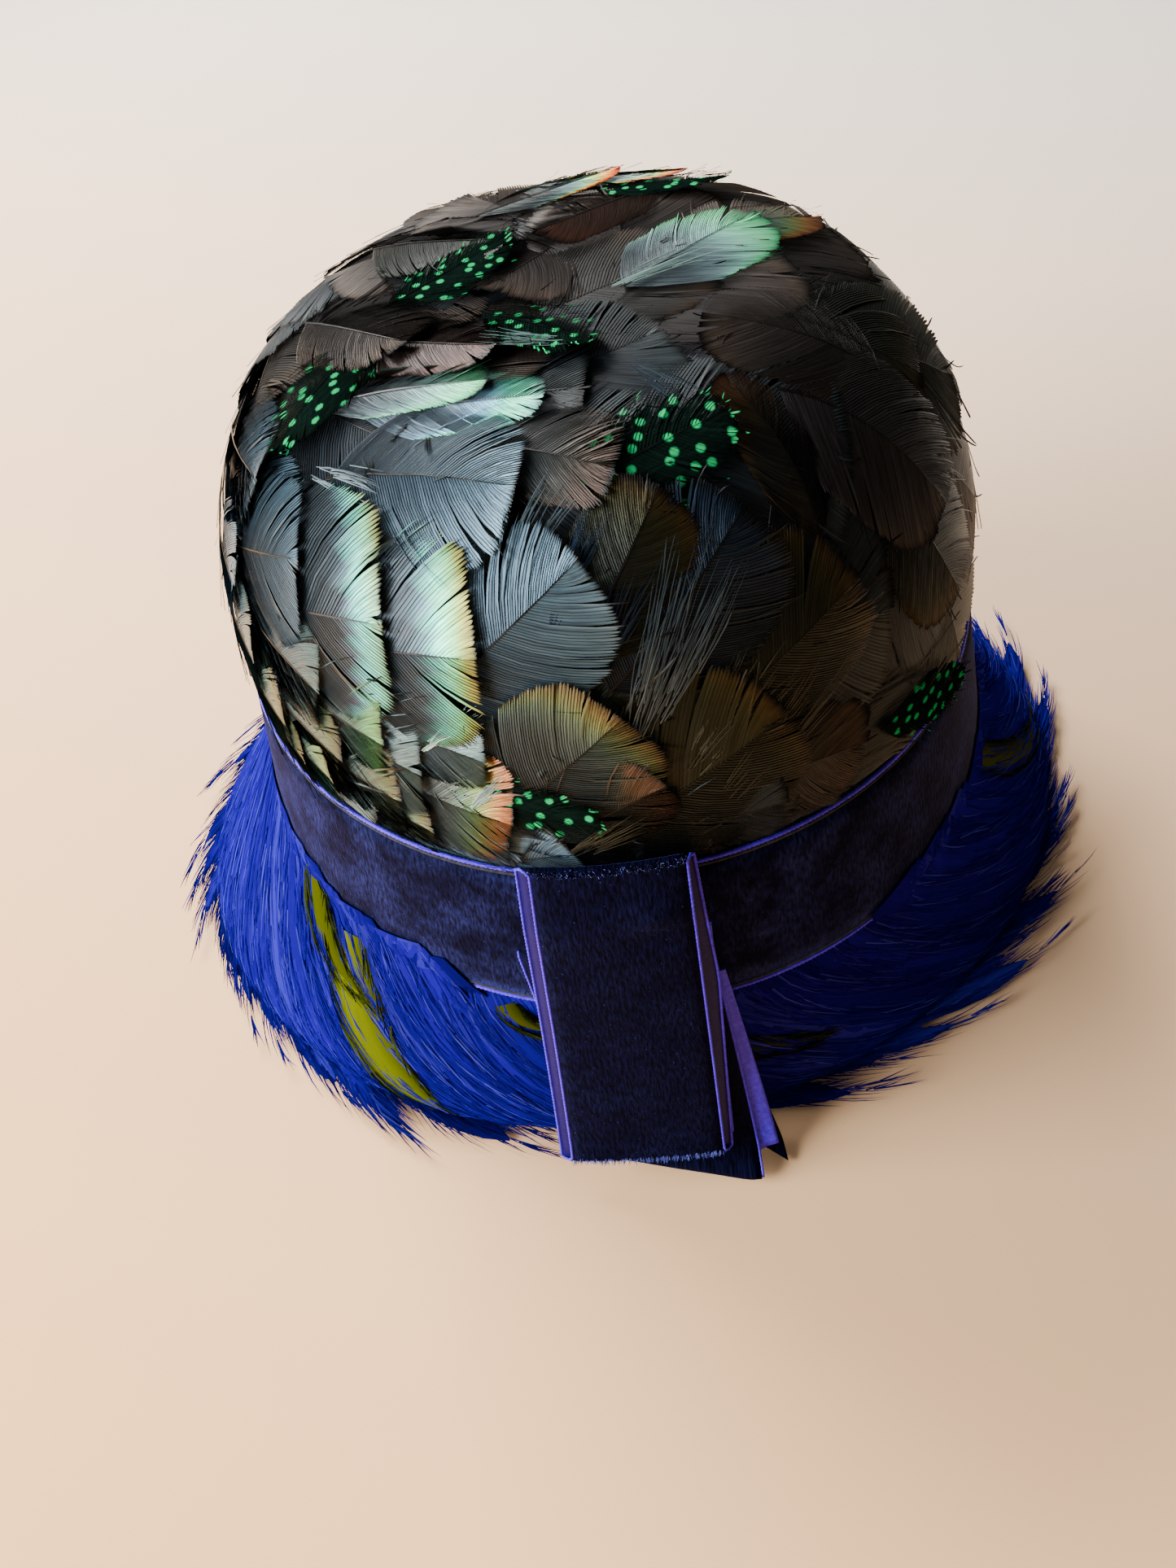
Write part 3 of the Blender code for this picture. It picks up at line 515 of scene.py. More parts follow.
# Dark feathers with rows of green dots: length in mm, and a place on the shaft, the tip's place and width
SPOTTED_LENGTH = 30.0
SPOTTED = (
    (-166, 2.86, -158, 2.70, 19),
    (172, 2.945, 114, 2.988, 17),
    (-120, 2.985, -90, 2.955, 15),
    (-90, 2.80, -73, 2.81, 19),
    (41, 2.89, 30, 2.84, 12),
    (-112, 2.22, -103, 2.20, 13),
    (-62, 2.16, -46, 2.08, 14),
)


def disc_point(x, y):
    """The point of the form at a spot of the unrolled crown, a disc of the crown's own area."""
    reach = np.hypot(x, y)
    return form(np.arctan2(y, x), np.interp(reach, DISC_REACH, DISC_LEVEL))


def unroll():
    """Reach and level of the unrolled crown, from the top down to under the band."""
    levels = np.concatenate((np.linspace(3, 2, 160), np.linspace(2, 1.4, 20)[1:]))
    rows = section(levels)
    mean = (rows[:, 0] + rows[:, 1]) / 2
    slant = np.hypot(np.diff(mean), np.diff(rows[:, 3]))
    return np.sqrt(run_of(np.pi * (mean[1:] + mean[:-1]) * slant) / np.pi), levels


DISC_REACH, DISC_LEVEL = unroll()


def heading_at(x, y):
    """The way that the crown's feathers point at a spot of the unrolled crown."""
    pitch = math.radians(np.interp(math.degrees(math.atan2(y, x)), *zip(*PITCHES)))
    out = np.array((x, y)) / max(math.hypot(x, y), 1e-6)
    return np.array((-out[1], out[0])) * math.cos(pitch) + out * math.sin(pitch)


def crown_spots(along, across, chance):
    """Spots of the unrolled crown that keep apart, further across the feathers than along them."""
    spots, headings = np.zeros((0, 2)), np.zeros((0, 2))
    for x, y in chance.uniform(-CROWN_DISC, CROWN_DISC, (9000, 2)):
        if math.hypot(x, y) > CROWN_DISC:
            continue
        heading = heading_at(x, y)
        gap = spots - (x, y)
        forward = gap @ heading / along
        sideways = (gap[:, 1] * heading[0] - gap[:, 0] * heading[1]) / across
        if len(spots) == 0 or np.min(forward ** 2 + sideways ** 2) > 1:
            spots = np.vstack((spots, (x, y)))
            headings = np.vstack((headings, heading))
    return spots, headings


# Palettes of the lower coat: from and to an angle, from and to a level, palettes and glow. The first row that
# holds a place gives its feather
COAT = (
    (-112, -80, 0.0, 2.3, ("gold", "olive", "slate"), 0.7),
    (-112, -75, 0.0, 3.1, ("slate", "dusk", "olive"), 1.0),
    # At the right, away from the window, the feathers' own dark olive and umber are made darker still: a
    # painted shade
    (-75, 10, 0.0, 3.1, ("olive", "umber", "olive", "slate", "fawn"), 0.9),
    # On top, lighter fawn among the umber: the feathers' browns with a painted highlight where the top light
    # falls
    (-180, 181, 2.8, 3.1, ("fawn", "umber", "fawn", "slate"), 1.0),
    (100, 181, 0.0, 3.1, ("fawn", "umber", "fawn", "slate"), 1.0),
    (-180, 181, 0.0, 3.1, ("umber", "slate", "olive", "dusk"), 1.0),
)
# The grey-blue part of the lower coat at the left back, its bluish silver partly the feathers' grey and
# partly a painted sheen where the window light falls: angles and levels
LEFT_BACK = (-178, -112, 2.0, 2.72)


def kind_at(angle, level, chance):
    """The palette and glow that the crown's plumage has at a place."""
    if LEFT_BACK[0] < angle < LEFT_BACK[1] and LEFT_BACK[2] < level < LEFT_BACK[3]:
        return ("tin", chance.uniform(0.8, 1.0)) if chance.random() < 0.4 else ("steel", 1.0)
    kinds = (row[4:] for row in COAT if row[0] <= angle < row[1] and row[2] <= level < row[3])
    palettes, glow = next(kinds)
    return chance.choice(palettes), glow


# A feather of the lower coat aims at a point this far ahead of it, in mm
AIM = 12
# How far the top coat's highest feathers lie above its lowest in mm, the lowest tip's level, and the climb
# in levels over which that grows
STACK = 0.9
STACK_FOOT = 2.08
STACK_CLIMB = 0.34


def crown_plumage(settings, finish, matt):
    """The whirled broad feathers over the whole crown: a lower coat in two pieces and a top coat."""
    chance = np.random.default_rng(11)
    spots, headings = crown_spots(settings.feather_step / MM, settings.feather_row / MM, chance)
    halves = np.array_split(np.argsort(spots[:, 1]), 2)
    pieces = []
    columns = math.ceil(math.sqrt(len(halves[0]) + 1))
    for name, chosen in zip(("crown_plumage_back", "crown_plumage_front"), halves):
        sheaf = Sheaf()
        for n, i in enumerate(chosen):
            spot, heading = spots[i], headings[i]
            angle = math.degrees(math.atan2(spot[1], spot[0]))
            level = float(np.interp(math.hypot(*spot), DISC_REACH, DISC_LEVEL))
            turn = chance.normal(0, 0.16)
            heading = heading * math.cos(turn) + np.array((-heading[1], heading[0])) * math.sin(turn)
            palette, glow = kind_at(angle, level, chance)
            broad_feather(sheaf, (n % columns, n // columns, columns, columns), disc_point(*spot),
                          disc_point(*(spot + heading * AIM)), settings.feather_length / MM,
                          settings.feather_width / MM * chance.uniform(0.86, 1.1), palette, chance, glow=glow,
                          squareness=chance.uniform(3.6, 6.5), rise=(0.8, 2.7), curl=chance.uniform(0.2, 1.0),
                          splits=int(chance.integers(3, 7)), loose=0.07)
        pieces.append(sheaf.make(name, matt))
    sheaf = Sheaf()
    columns = math.ceil(math.sqrt(len(PLUMES)))
    for n, (*ends, width, palette, squareness, glow) in enumerate(PLUMES):
        # A higher feather lies over the one below it, so that no upper edge stands open
        higher = STACK * min(max((ends[3] - STACK_FOOT) / STACK_CLIMB, 0.0), 1.0)
        broad_feather(sheaf, (n % columns, n // columns, columns, columns), *shaft_ends(*ends),
                      max(1.25 * width, 34.0), width, palette, chance, glow=glow, squareness=squareness,
                      rise=(2.1 + higher, 3.7 + higher), curl=0.6, splits=5, loose=0.06, barbs=64)
    for row in WISPS:
        barb_bundle(sheaf, *row, chance)
    pieces.append(sheaf.make("crown_plumes", finish))
    return pieces


# How much a hackle's shaft turns round the brim and flattens out towards its tip
SHAFT_TURNS = 0.30
SHAFT_FLATTENS = 0.55


def brim_path(angle, level, sweep, drop, steps):
    """Angles and levels along a hackle's shaft: steep below the band, and flatter as it nears the rim."""
    share = np.linspace(0, 1, steps)
    fall = (1 + SHAFT_FLATTENS) * share - SHAFT_FLATTENS * share ** 2
    return angle + sweep * ((1 - SHAFT_TURNS) * share + SHAFT_TURNS * share ** 2), level - drop * fall


# Levels between which a brim feather comes to the ribbon, and how far above the ribbon it lies in mm
NEAR_BAND = (0.90, 0.99)
OVER_BAND = 0.5


def by_the_band(level, lift, over):
    """The lift of a brim feather where it meets the ribbon's foot: raised over it, or held down under it."""
    near = np.clip((level - NEAR_BAND[0]) / (NEAR_BAND[1] - NEAR_BAND[0]), 0, 1)
    there = np.maximum(lift, BAND_INSIDE + BAND_WALL + OVER_BAND) if over else np.minimum(lift, TUCKED_LIFT)
    return lift * (1 - near) + there * near


def hackle(sheaf, cell, angle, level, sweep, drop, width, lift, tones, chance, stripe=None, barbs=42,
           reach=(13, 27), over=True):
    """One long soft feather on the brim: a web along the shaft and free barbs at a sharp angle to it."""
    stations, columns, steps = 17, 5, 4
    path_angle, path_level = brim_path(angle, level, sweep, drop, 40)
    rows = section(path_level)
    girth = (rows[:, 0] + rows[:, 1]) / 2
    run = run_of(np.hypot(np.diff(path_angle) * girth[1:], np.diff(path_level) * BRIM_SLANT))
    length = run[-1]
    slope_angle, slope_level = np.gradient(path_angle, run), np.gradient(path_level, run)

    def web_half(s):
        """Half the web's width at a place along the shaft."""
        return width / 2 * np.sin(np.pi * np.clip(0.26 + 0.82 * np.clip(s / length, 0, 1), 0, 1)) ** 0.7

    def lay(s, t, out):
        """Points on the brim at a place along the shaft and beside it."""
        inside = np.clip(s, 0, length)
        girth_here = np.interp(inside, run, girth)
        along = unit(np.stack((np.interp(inside, run, slope_angle) * girth_here,
                               -np.interp(inside, run, slope_level) * BRIM_SLANT), -1))
        across = np.stack((-along[..., 1], along[..., 0]), -1)
        move = along * (s - inside)[..., None] + across * t[..., None]
        where_angle = np.interp(inside, run, path_angle) + move[..., 0] / girth_here
        where_level = np.interp(inside, run, path_level) - move[..., 1] / BRIM_SLANT
        return standing(where_angle, where_level, by_the_band(where_level, out, over))

    # The web arches over the shaft and waves a little, and a striped one is bright along its middle
    tone = tones[chance.integers(0, max(len(tones) - 1, 1))] * chance.uniform(0.85, 1.15)
    side = np.linspace(-1, 1, columns)[None, :]
    web_s = np.linspace(0, 0.90, stations)[:, None] * length + 0 * side
    web_t = web_half(web_s) * side
    web_lift = lift + HACKLE_ARCH * (1 - side ** 2) * (0.3 + 0.7 * np.sin(np.pi * web_s / length))
    web_lift = web_lift + 0.18 * np.sin(web_s / 11 + chance.uniform(0, 6)) * side
    if stripe is None:
        web_tint = np.broadcast_to(tone, (stations, columns, 3)) * (0.72 + 0.28 * (1 - side ** 2))[..., None]
        foot = (0.25, 0.9)
    else:
        mix = np.clip((np.abs(side - 0.12) * 1.9 - 0.75) + 0 * web_s, 0, 1)[..., None]
        web_tint = stripe * (1 - mix) + tone * mix
        foot = (0.8, 1.0)

    # The free barbs leave the web at both sides, shorter towards the tip, and their ends drift apart
    count = 2 * barbs
    end = np.linspace(0, 1, steps)
    start = np.sort(chance.uniform(0.02, 0.98, count)) * length
    long = chance.uniform(*reach, count) * np.interp(start / length, (0, 0.65, 1), (1.0, 0.85, 0.38))
    opening = np.radians(chance.uniform(1, 9, count))
    opening = opening * np.interp(start / length, (0, 0.7, 1), (1.1, 0.8, 0.9))
    s = start[:, None] + long[:, None] * end * np.cos(opening)[:, None]
    t = (web_half(start) * chance.uniform(*foot, count))[:, None] * (1 - 0.25 * end)
    t = t + long[:, None] * np.sin(opening)[:, None] * end * (1.2 - 0.4 * end)
    t = np.tile((-1, 1), barbs)[:, None] * t + chance.normal(0, 0.5, count)[:, None] * end ** 2
    thick = np.interp(end, (0, 0.6, 1), (0.17, 0.13, 0.02)) * chance.uniform(0.6, 1.4, count)[:, None]
    out = lift + HACKLE_ARCH * 0.8 + 0.25 + chance.uniform(-0.2, 0.9, count)[:, None] * end
    edges = [lay(s, t + k * thick, out + 0.05 * k) for k in (-1, 1)]
    barb_tint = tones[chance.integers(0, len(tones), count)] * chance.uniform(0.8, 1.15, count)[:, None]
    if stripe is not None:
        barb_tint = np.where(chance.random(count)[:, None] < 0.2, stripe * 0.5, barb_tint)
    barb_tint = barb_tint[:, None, :] * np.interp(end, (0, 0.5, 1), (0.8, 1.0, 1.15))[None, :, None]
    lane = chance.uniform(0, 900, count)[:, None] + 0 * s

    def both(web, barb):
        """Rows for the web's points and for the two edges of every barb."""
        size = web.shape[-1]
        return np.concatenate((web.reshape(-1, size), np.repeat(barb.reshape(-1, size), 2, axis=0)))

    laid = np.concatenate((lay(web_s, web_t, web_lift).reshape(-1, 3), np.stack(edges, 2).reshape(-1, 3)))
    laid[:, 2] = np.maximum(laid[:, 2], LOWEST_BARB)
    faces = np.concatenate((grid_faces(stations, columns), strip_faces(count, steps) + stations * columns))
    place = both(np.stack((web_s, web_t), -1), np.stack((s, t), -1))
    atlas = atlas_spots(cell, 0.5 + 0.45 * place[:, 1] / (width / 2 + 5), 0.04 + 0.86 * place[:, 0] / length)
    vane = both(np.stack((np.abs(web_t) * 4.2 - web_s, web_t), -1), np.stack((lane, s), -1))
    sheaf.add(laid, faces, both(web_tint, barb_tint), vane, atlas)


# Rings of hackles on the brim: count, level of the root, sweep in degrees, drop in levels, width and lift
UNDER_RINGS = ((56, 1.00, 36, 1.03, 20, 0.9), (56, 0.86, 34, 0.89, 18, 1.3), (80, 0.50, 22, 0.52, 15, 1.7))
OVER_RINGS = ((64, 1.03, 38, 1.12, 17, 2.1), (70, 1.04, 42, 1.20, 16, 2.7))
# How far a hackle's middle arches up, and how low its barbs may hang over the stand's surface, in mm
HACKLE_ARCH = 0.7
LOWEST_BARB = 0.6
# Angles between which the ribbon's foot shows, in degrees
BARE_FOOT = (-128.0, -60.0)
# Where loose tips reach past the rim: angle and spread in degrees, and how much further they reach in levels
LOOSE_TIPS = ((-124, 7, 0.07), (-66, 16, 0.04))


def brim_plumage(name, rings, blues, finish, seed):
    """Rings of hackles round the brim."""
    chance = np.random.default_rng(seed)
    total = sum(ring[0] for ring in rings)
    rows = math.ceil(math.sqrt(total / 4))
    columns = math.ceil(total / rows)
    sheaf = Sheaf()
    number = 0
    for count, level, sweep, drop, width, lift in rings:
        for i in range(count):
            angle = math.degrees(2 * math.pi * (i + chance.uniform(-0.3, 0.3)) / count) - 180
            start = level + chance.normal(0, 0.015)
            over = not BARE_FOOT[0] < angle + 3 < BARE_FOOT[1]
            # Where the ribbon's foot is bare, roots hide behind it, and elsewhere they reach over it
            if not over:
                start = max(start, 1.06)
            elif level > 0.99:
                start += chance.uniform(0.02, 0.14)
            further = sum(more * math.exp(-((angle + sweep - middle) / spread) ** 2)
                          for middle, spread, more in LOOSE_TIPS)
            hackle(sheaf, (number % columns, number // columns, columns, rows), math.radians(angle), start,
                   math.radians(sweep + chance.normal(0, 4)), drop * chance.uniform(0.92, 1.07) + further,
                   width * chance.uniform(0.8, 1.15), lift, blues, chance, over=over)
            number += 1
    return sheaf.make(name, finish)


# Yellow-green feathers on the brim: angle and level of the root, sweep, drop, width, lift and brightness
CHARTREUSE = (
    (-147, 0.88, 27, 0.90, 18, 3.2, 1.0),
    (-157, 1.06, 19, 0.52, 11, 3.4, 0.5),
    (-120, 0.93, 8, 0.14, 7, 3.2, 0.4),
    (-92, 0.66, 14, 0.30, 9, 3.0, 0.3),
    (-32, 0.90, 24, 0.86, 12, 3.1, 0.5),
)


def satin_roll(path, radius, rib, up):
    """Rings of points round a closed path: a fine roll of satin, thicker at every second ring."""
    ahead = unit(np.roll(path, -1, 0) - np.roll(path, 1, 0))
    across = unit(np.cross(ahead, up))[:, None, :]
    over = np.cross(across, ahead[:, None, :])
    turn = np.linspace(0, 2 * np.pi, ROLL_SIDES, endpoint=False)[None, :, None]
    radii = (radius + rib * np.cos(np.pi * np.arange(len(path))))[:, None, None]
    return path[:, None, :] + (across * np.cos(turn) + over * np.sin(turn)) * radii


def lay_weave(piece, along, across):
    """Notes where each point lies on the flat ribbon, in mm, for the pile's texture."""
    rows = np.stack((along.ravel(), across.ravel(), 0 * across.ravel()), -1)
    layer = piece.data.attributes.new("weave", "FLOAT_VECTOR", "POINT")
    layer.data.foreach_set("vector", rows.astype(np.float32).ravel())


def closed_shell(name, rings, finishes, slots=None):
    """A closed body from rings of points: each ring is closed, and the last ring joins the first."""
    count, around = rings.shape[:2]
    faces = grid_faces(count + 1, around, closed=True) % (count * around)
    return quad_mesh(name, rings.reshape(-1, 3), faces, finishes, slots)


def capped_tube(name, rings, finishes):
    """A closed body from rings of points, with faces across its first ring and its last."""
    count, around = rings.shape[:2]
    faces = [grid_faces(count, around, closed=True)]
    k = np.arange(around // 2 - 1)
    for start in (0, (count - 1) * around):
        faces.append(start + np.stack((k, k + 1, around - 2 - k, around - 1 - k), -1))
    return quad_mesh(name, rings.reshape(-1, 3), np.concatenate(faces), finishes)


# The ribbon's rings: mean radius of its run and height along the slant, in mm, and points round it
BAND_RADIUS = 93.0
BAND_HEIGHT = 39.8
BAND_COLUMNS = 320
# Waves round the ribbon that crush its pile, and how much its two edges are thinned, in mm
CRUSH_WAVES = (5, 9, 14, 23, 31)
BAND_EDGE = 0.25
# Satin rolls: points round one, radius and how much a rib adds to it, in mm, on the band and on the bow
ROLL_SIDES = 6
BAND_ROLL = (0.50, 0.09)
BOW_ROLL = (0.34, 0.07)
# Length of a rib on the bow in mm, and how far a roll's middle stands off the band's inside
RIB_PITCH = 1.0
BAND_ROLL_OUT = 0.62


def band_ring(name, low, high, finish, parts=8, crush=0.0):
    """A strip of ribbon round the foot of the crown, between two levels, with a crushed pile."""
    chance = np.random.default_rng(1)
    angles = np.linspace(0, 2 * np.pi, BAND_COLUMNS, endpoint=False)
    rise = np.linspace(low, high, parts + 1)[:, None]
    waves = sum(chance.normal(0, 0.5) * np.sin(k * angles + chance.uniform(0, 6) + 2.2 * rise * (k % 3))
                for k in CRUSH_WAVES)
    edge = np.zeros((parts + 1, 1))
    edge[0] = edge[-1] = BAND_EDGE
    outer = standing(angles, rise, BAND_INSIDE + BAND_WALL + crush * waves - edge)
    inner = standing(angles, rise, BAND_INSIDE)
    made = closed_shell(name, np.concatenate((outer, inner[::-1])), (finish,))
    height = (rise - 1) * BAND_HEIGHT + 0 * angles
    run = angles * BAND_RADIUS + 0 * height
    lay_weave(made, np.concatenate((run, run)), np.concatenate((height, height[::-1])))
    return made


def picot_ring(name, level, finish, ribs):
    """The ribbon's satin edge round the crown: a fine roll with ribs, drawn coarser than the real 0.5 mm."""
    angles = np.linspace(0, 2 * np.pi, ribs * 2, endpoint=False)
    path = standing(angles, level, BAND_INSIDE + BAND_ROLL_OUT)
    return closed_shell(name, satin_roll(path, *BAND_ROLL, np.array((0, 0, 1.0))), (finish,))


def ply_weave(made, across, run):
    """Notes where the points of a ribbon's two faces lie on it, for the pile's texture."""
    lay_weave(made, np.concatenate((across, across[:, ::-1]), 1), np.concatenate((run, run), 1))


# Bow at the back. The spine is the inner side of its stack: height and distance from the crown's middle
BOW_TURN = math.radians(-103)
PLY = 0.95
LOOP_GAP = 0.45
LOOP_COLUMNS = 19
BOW_SPINE = ((0, 122), (4, 113.4), (10, 110.2), (17, 108.2), (25, 106.3), (38, 103.5), (50, 101.2),
             (66, 98.6), (80, 96.6), (93, 95.7), (97, 95.6))
BOW_CURL_RADIUS = 95.0
BOW_FLAT_SHARE = 0.3
BOW_FULL_CURL = 110.0
# Bumps of the front loop's velvet: across, height, spreads across and up, and rise, all in mm
BOW_CRUMPLES = ((10, 84, 5, 2.2, 1.7), (11, 78, 7, 2.6, -1.2), (-9, 64, 9, 4, 0.3), (3, 48, 12, 5, -0.25),
                (-4, 24, 11, 6, 0.25))
# Folds whose pile stands up: from and to a height, and which way its hairs lean, in mm. Hairs at each fold
PILE_FOLDS = ((93.8, 96.6, 1.2), (7.5, 10.0, -1.2))
PILE_COUNT = 520


def bow_point(across, height, out):
    """Points of the bow: across the ribbon, at a height, and outward from the stack's inner side."""
    across, height, out = np.broadcast_arrays(np.asarray(across, float), height, out)
    outward_way = np.array((math.cos(BOW_TURN), math.sin(BOW_TURN), 0))
    sideways = np.array((-outward_way[1], outward_way[0], 0))
    heights, reaches = zip(*BOW_SPINE)
    step = 2.0
    slope = np.interp(height + step, heights, reaches) - np.interp(height - step, heights, reaches)
    size = np.hypot(slope, 2 * step)
    curl = across ** 2 / (2 * BOW_CURL_RADIUS) * np.minimum(1.0, BOW_FLAT_SHARE + height / BOW_FULL_CURL)
    reach = np.interp(height, heights, reaches) + out * 2 * step / size - curl
    high = np.array((0, 0, 1.0)) * (height - out * slope / size)[..., None]
    level_way = outward_way * reach[..., None] + sideways * across[..., None]
    return level_way + high + np.array((0, HAT_FORWARD, 0))


def loop_line(top, bottom, out_top, out_low, settle_over, parts=26):
    """The middle line of a flat closed loop: height, place and ply, 0 for the inner and 1 for the outer."""
    apart = PLY + LOOP_GAP
    down = np.linspace(top - apart / 2, bottom + apart / 2, parts)
    place = np.interp(top - down, (0, settle_over), (out_top, out_low)) + PLY / 2
    turn = np.linspace(0, np.pi, 6)[1:-1]
    inner = np.stack((down, place, 0 * down), -1)
    outer = np.stack((down, place + apart, 1 + 0 * down), -1)[::-1]
    low = np.stack((down[-1] - apart / 2 * np.sin(turn), place[-1] + apart / 2 * (1 - np.cos(turn)),
                    turn / np.pi), -1)
    high = np.stack((down[0] + apart / 2 * np.sin(turn), place[0] + apart / 2 * (1 + np.cos(turn)),
                     1 - turn / np.pi), -1)
    return np.concatenate((inner, low, outer, high))


def ribbon_loop(name, line, edges, finishes, slant=0.0, skew=0.0, crumples=()):
    """A closed loop of ribbon, velvet outside and satin inside. edges gives the left and right edge of a ply
    at a height. The slant moves the lower end sideways, and the skew tips its lower fold."""
    top, bottom = line[:, 0].max(), line[:, 0].min()
    ahead = unit(np.roll(line[:, :2], -1, 0) - np.roll(line[:, :2], 1, 0))
    normal = np.stack((-ahead[:, 1], ahead[:, 0]), -1) * PLY / 2
    share = np.linspace(0, 1, LOOP_COLUMNS)
    left, right = np.array([edges(height, ply) for height, _, ply in line]).T
    across = left[:, None] + (right - left)[:, None] * share + (slant * (top - line[:, 0]))[:, None]
    down = ((top - line[:, 0]) / (top - bottom))[:, None]
    height = line[:, :1] - skew * (share - 0.5) * down ** 3
    out = line[:, 1:2] + 0 * across
    for x, z, wide, tall, rise in crumples:
        bump = rise * np.exp(-((across - x) / wide) ** 2 - ((height - z) / tall) ** 2)
        out = out + bump * (line[:, 2:3] > 0.9)
    # The ply thins towards its two edges
    thin = 1 - 0.55 * np.clip(np.abs(share - 0.5) * 2 - 0.86, 0, 1) / 0.14
    outer, inner = (
        bow_point(across, height - sign * normal[:, :1] * thin, out - sign * normal[:, 1:2] * thin)
        for sign in (-1, 1))
    slots = np.zeros((len(line), 2 * LOOP_COLUMNS), dtype=int)
    slots[:, LOOP_COLUMNS - 1:] = 1
    made = closed_shell(name, np.concatenate((outer, inner[:, ::-1]), 1), finishes, slots.ravel())
    run = run_of(np.hypot(np.diff(line[:, 0]), np.diff(line[:, 1])))[:, None] + 0 * across
    ply_weave(made, across, run)
    return made, (across, height, out)


def open_ply(name, top, bottom, out, left, right, finishes, cut=0.0, thick=0.85):
    """A single ply of ribbon in the stack, with its lower end cut slanting by cut. left and right are each a
    place across, how far it moves out for each mm down, and the height from which it does."""
    middle = np.linspace(top, bottom, 24)[:, None]
    share = np.linspace(0, 1, 9)[None, :]
    left, right = (place + slope * (height - middle) for place, slope, height in (left, right))
    across = left + (right - left) * share
    height = middle + cut * (1 - share) * (top - middle) / (top - bottom)
    upper, lower = (bow_point(across, height, place) for place in (out + thick, out))
    made = capped_tube(name, np.concatenate((upper, lower[:, ::-1]), 1), finishes)
    ply_weave(made, across, middle + 0 * across)
    return made


def picot_line(across, height, out):
    """Points of a ribbed satin roll along one closed edge of the bow."""
    path = bow_point(across, height, out)
    path = np.concatenate((path, path[:1]))
    run = run_of(np.linalg.norm(np.diff(path, axis=0), axis=-1))
    fine = np.linspace(0, run[-1], int(run[-1] / RIB_PITCH) * 2, endpoint=False)
    path = np.stack([np.interp(fine, run, path[:, i]) for i in range(3)], -1)
    return satin_roll(path, *BOW_ROLL, np.array((-math.sin(BOW_TURN), math.cos(BOW_TURN), 0)))


def bow_picot(loops, finish):
    """The satin rolls along both edges of both loops, as one piece."""
    points, faces, count = [], [], 0
    for across, height, out in loops:
        for column, move in ((0, -0.3), (-1, 0.3)):
            rings = picot_line(across[:, column] + move, height[:, column], out[:, column])
            size = len(rings) * ROLL_SIDES
            points.append(rings.reshape(-1, 3))
            faces.append(grid_faces(len(rings) + 1, ROLL_SIDES, closed=True) % size + count)
            count += size
    return quad_mesh("bow_picot", np.concatenate(points), np.concatenate(faces), (finish,))


def fold_pile(line, across, finish):
    """Short hairs of velvet pile that stand up where the front loop folds."""
    chance = np.random.default_rng(41)
    spots, ways = [], []
    for low, high, tilt in PILE_FOLDS:
        rows = np.nonzero((line[:, 0] > low) & (line[:, 0] < high) & (line[:, 2] > 0.25))[0]
        pick = chance.choice(rows, PILE_COUNT)
        share = chance.uniform(0.01, 0.99, PILE_COUNT)
        x = across[pick, 0] + (across[pick, -1] - across[pick, 0]) * share
        z, out = line[pick, 0] + chance.uniform(-0.3, 0.3, PILE_COUNT), line[pick, 1]
        spots.append(bow_point(x, z, out + 0.45))
        ways.append(bow_point(x, z + tilt, out + 1.2) - bow_point(x, z, out))
    spots, ways = np.concatenate(spots), np.concatenate(ways)
    ways = unit(ways + chance.normal(0, 0.35, ways.shape))
    side = unit(np.cross(ways, chance.normal(0, 1, ways.shape))) * 0.09
    tops = spots + ways * chance.uniform(0.5, 1.3, len(ways))[:, None]
    points = np.stack((spots - side, spots + side, tops + side * 0.3, tops - side * 0.3), 1).reshape(-1, 3)
    return quad_mesh("bow_pile", points, np.arange(len(points)).reshape(-1, 4), (finish,))


def wire(material, node, links):
    """Links a node's sockets, each to a source node and its output."""
    for key, (source, socket) in links.items():
        material.node_tree.links.new(source.outputs[socket], node.inputs[key])


def add_node(material, kind, settings=None, links=None):
    """Adds a shader node with its settings and links. A setting or link names a socket or a property."""
    node = material.node_tree.nodes.new("ShaderNode" + kind)
    for key, value in (settings or {}).items():
        if isinstance(key, str) and hasattr(node, key):
            setattr(node, key, value)
        else:
            node.inputs[key].default_value = value
    wire(material, node, links or {})
    return node


# Sockets of a Mix node that mixes colours, and its output
COLOUR_A, COLOUR_B, MIXED = 6, 7, 2


def finish_surface(material, shader, colour, height, relief, depth):
    """Gives a shader its colour and a fine relief. Colour and height are outputs, and depth is in metres."""
    bump = add_node(material, "Bump", {"Strength": relief, "Distance": depth}, {"Height": height})
    wire(material, shader, {"Base Color": colour, "Normal": (bump, "Normal")})


def new_material(name, **sockets):
    """A Principled material with its sockets set."""
    made = bpy.data.materials.new(name)
    made.use_nodes = True
    shader = made.node_tree.nodes["Principled BSDF"]
    for key, value in sockets.items():
        shader.inputs[key.replace("_", " ")].default_value = value
    return made, shader


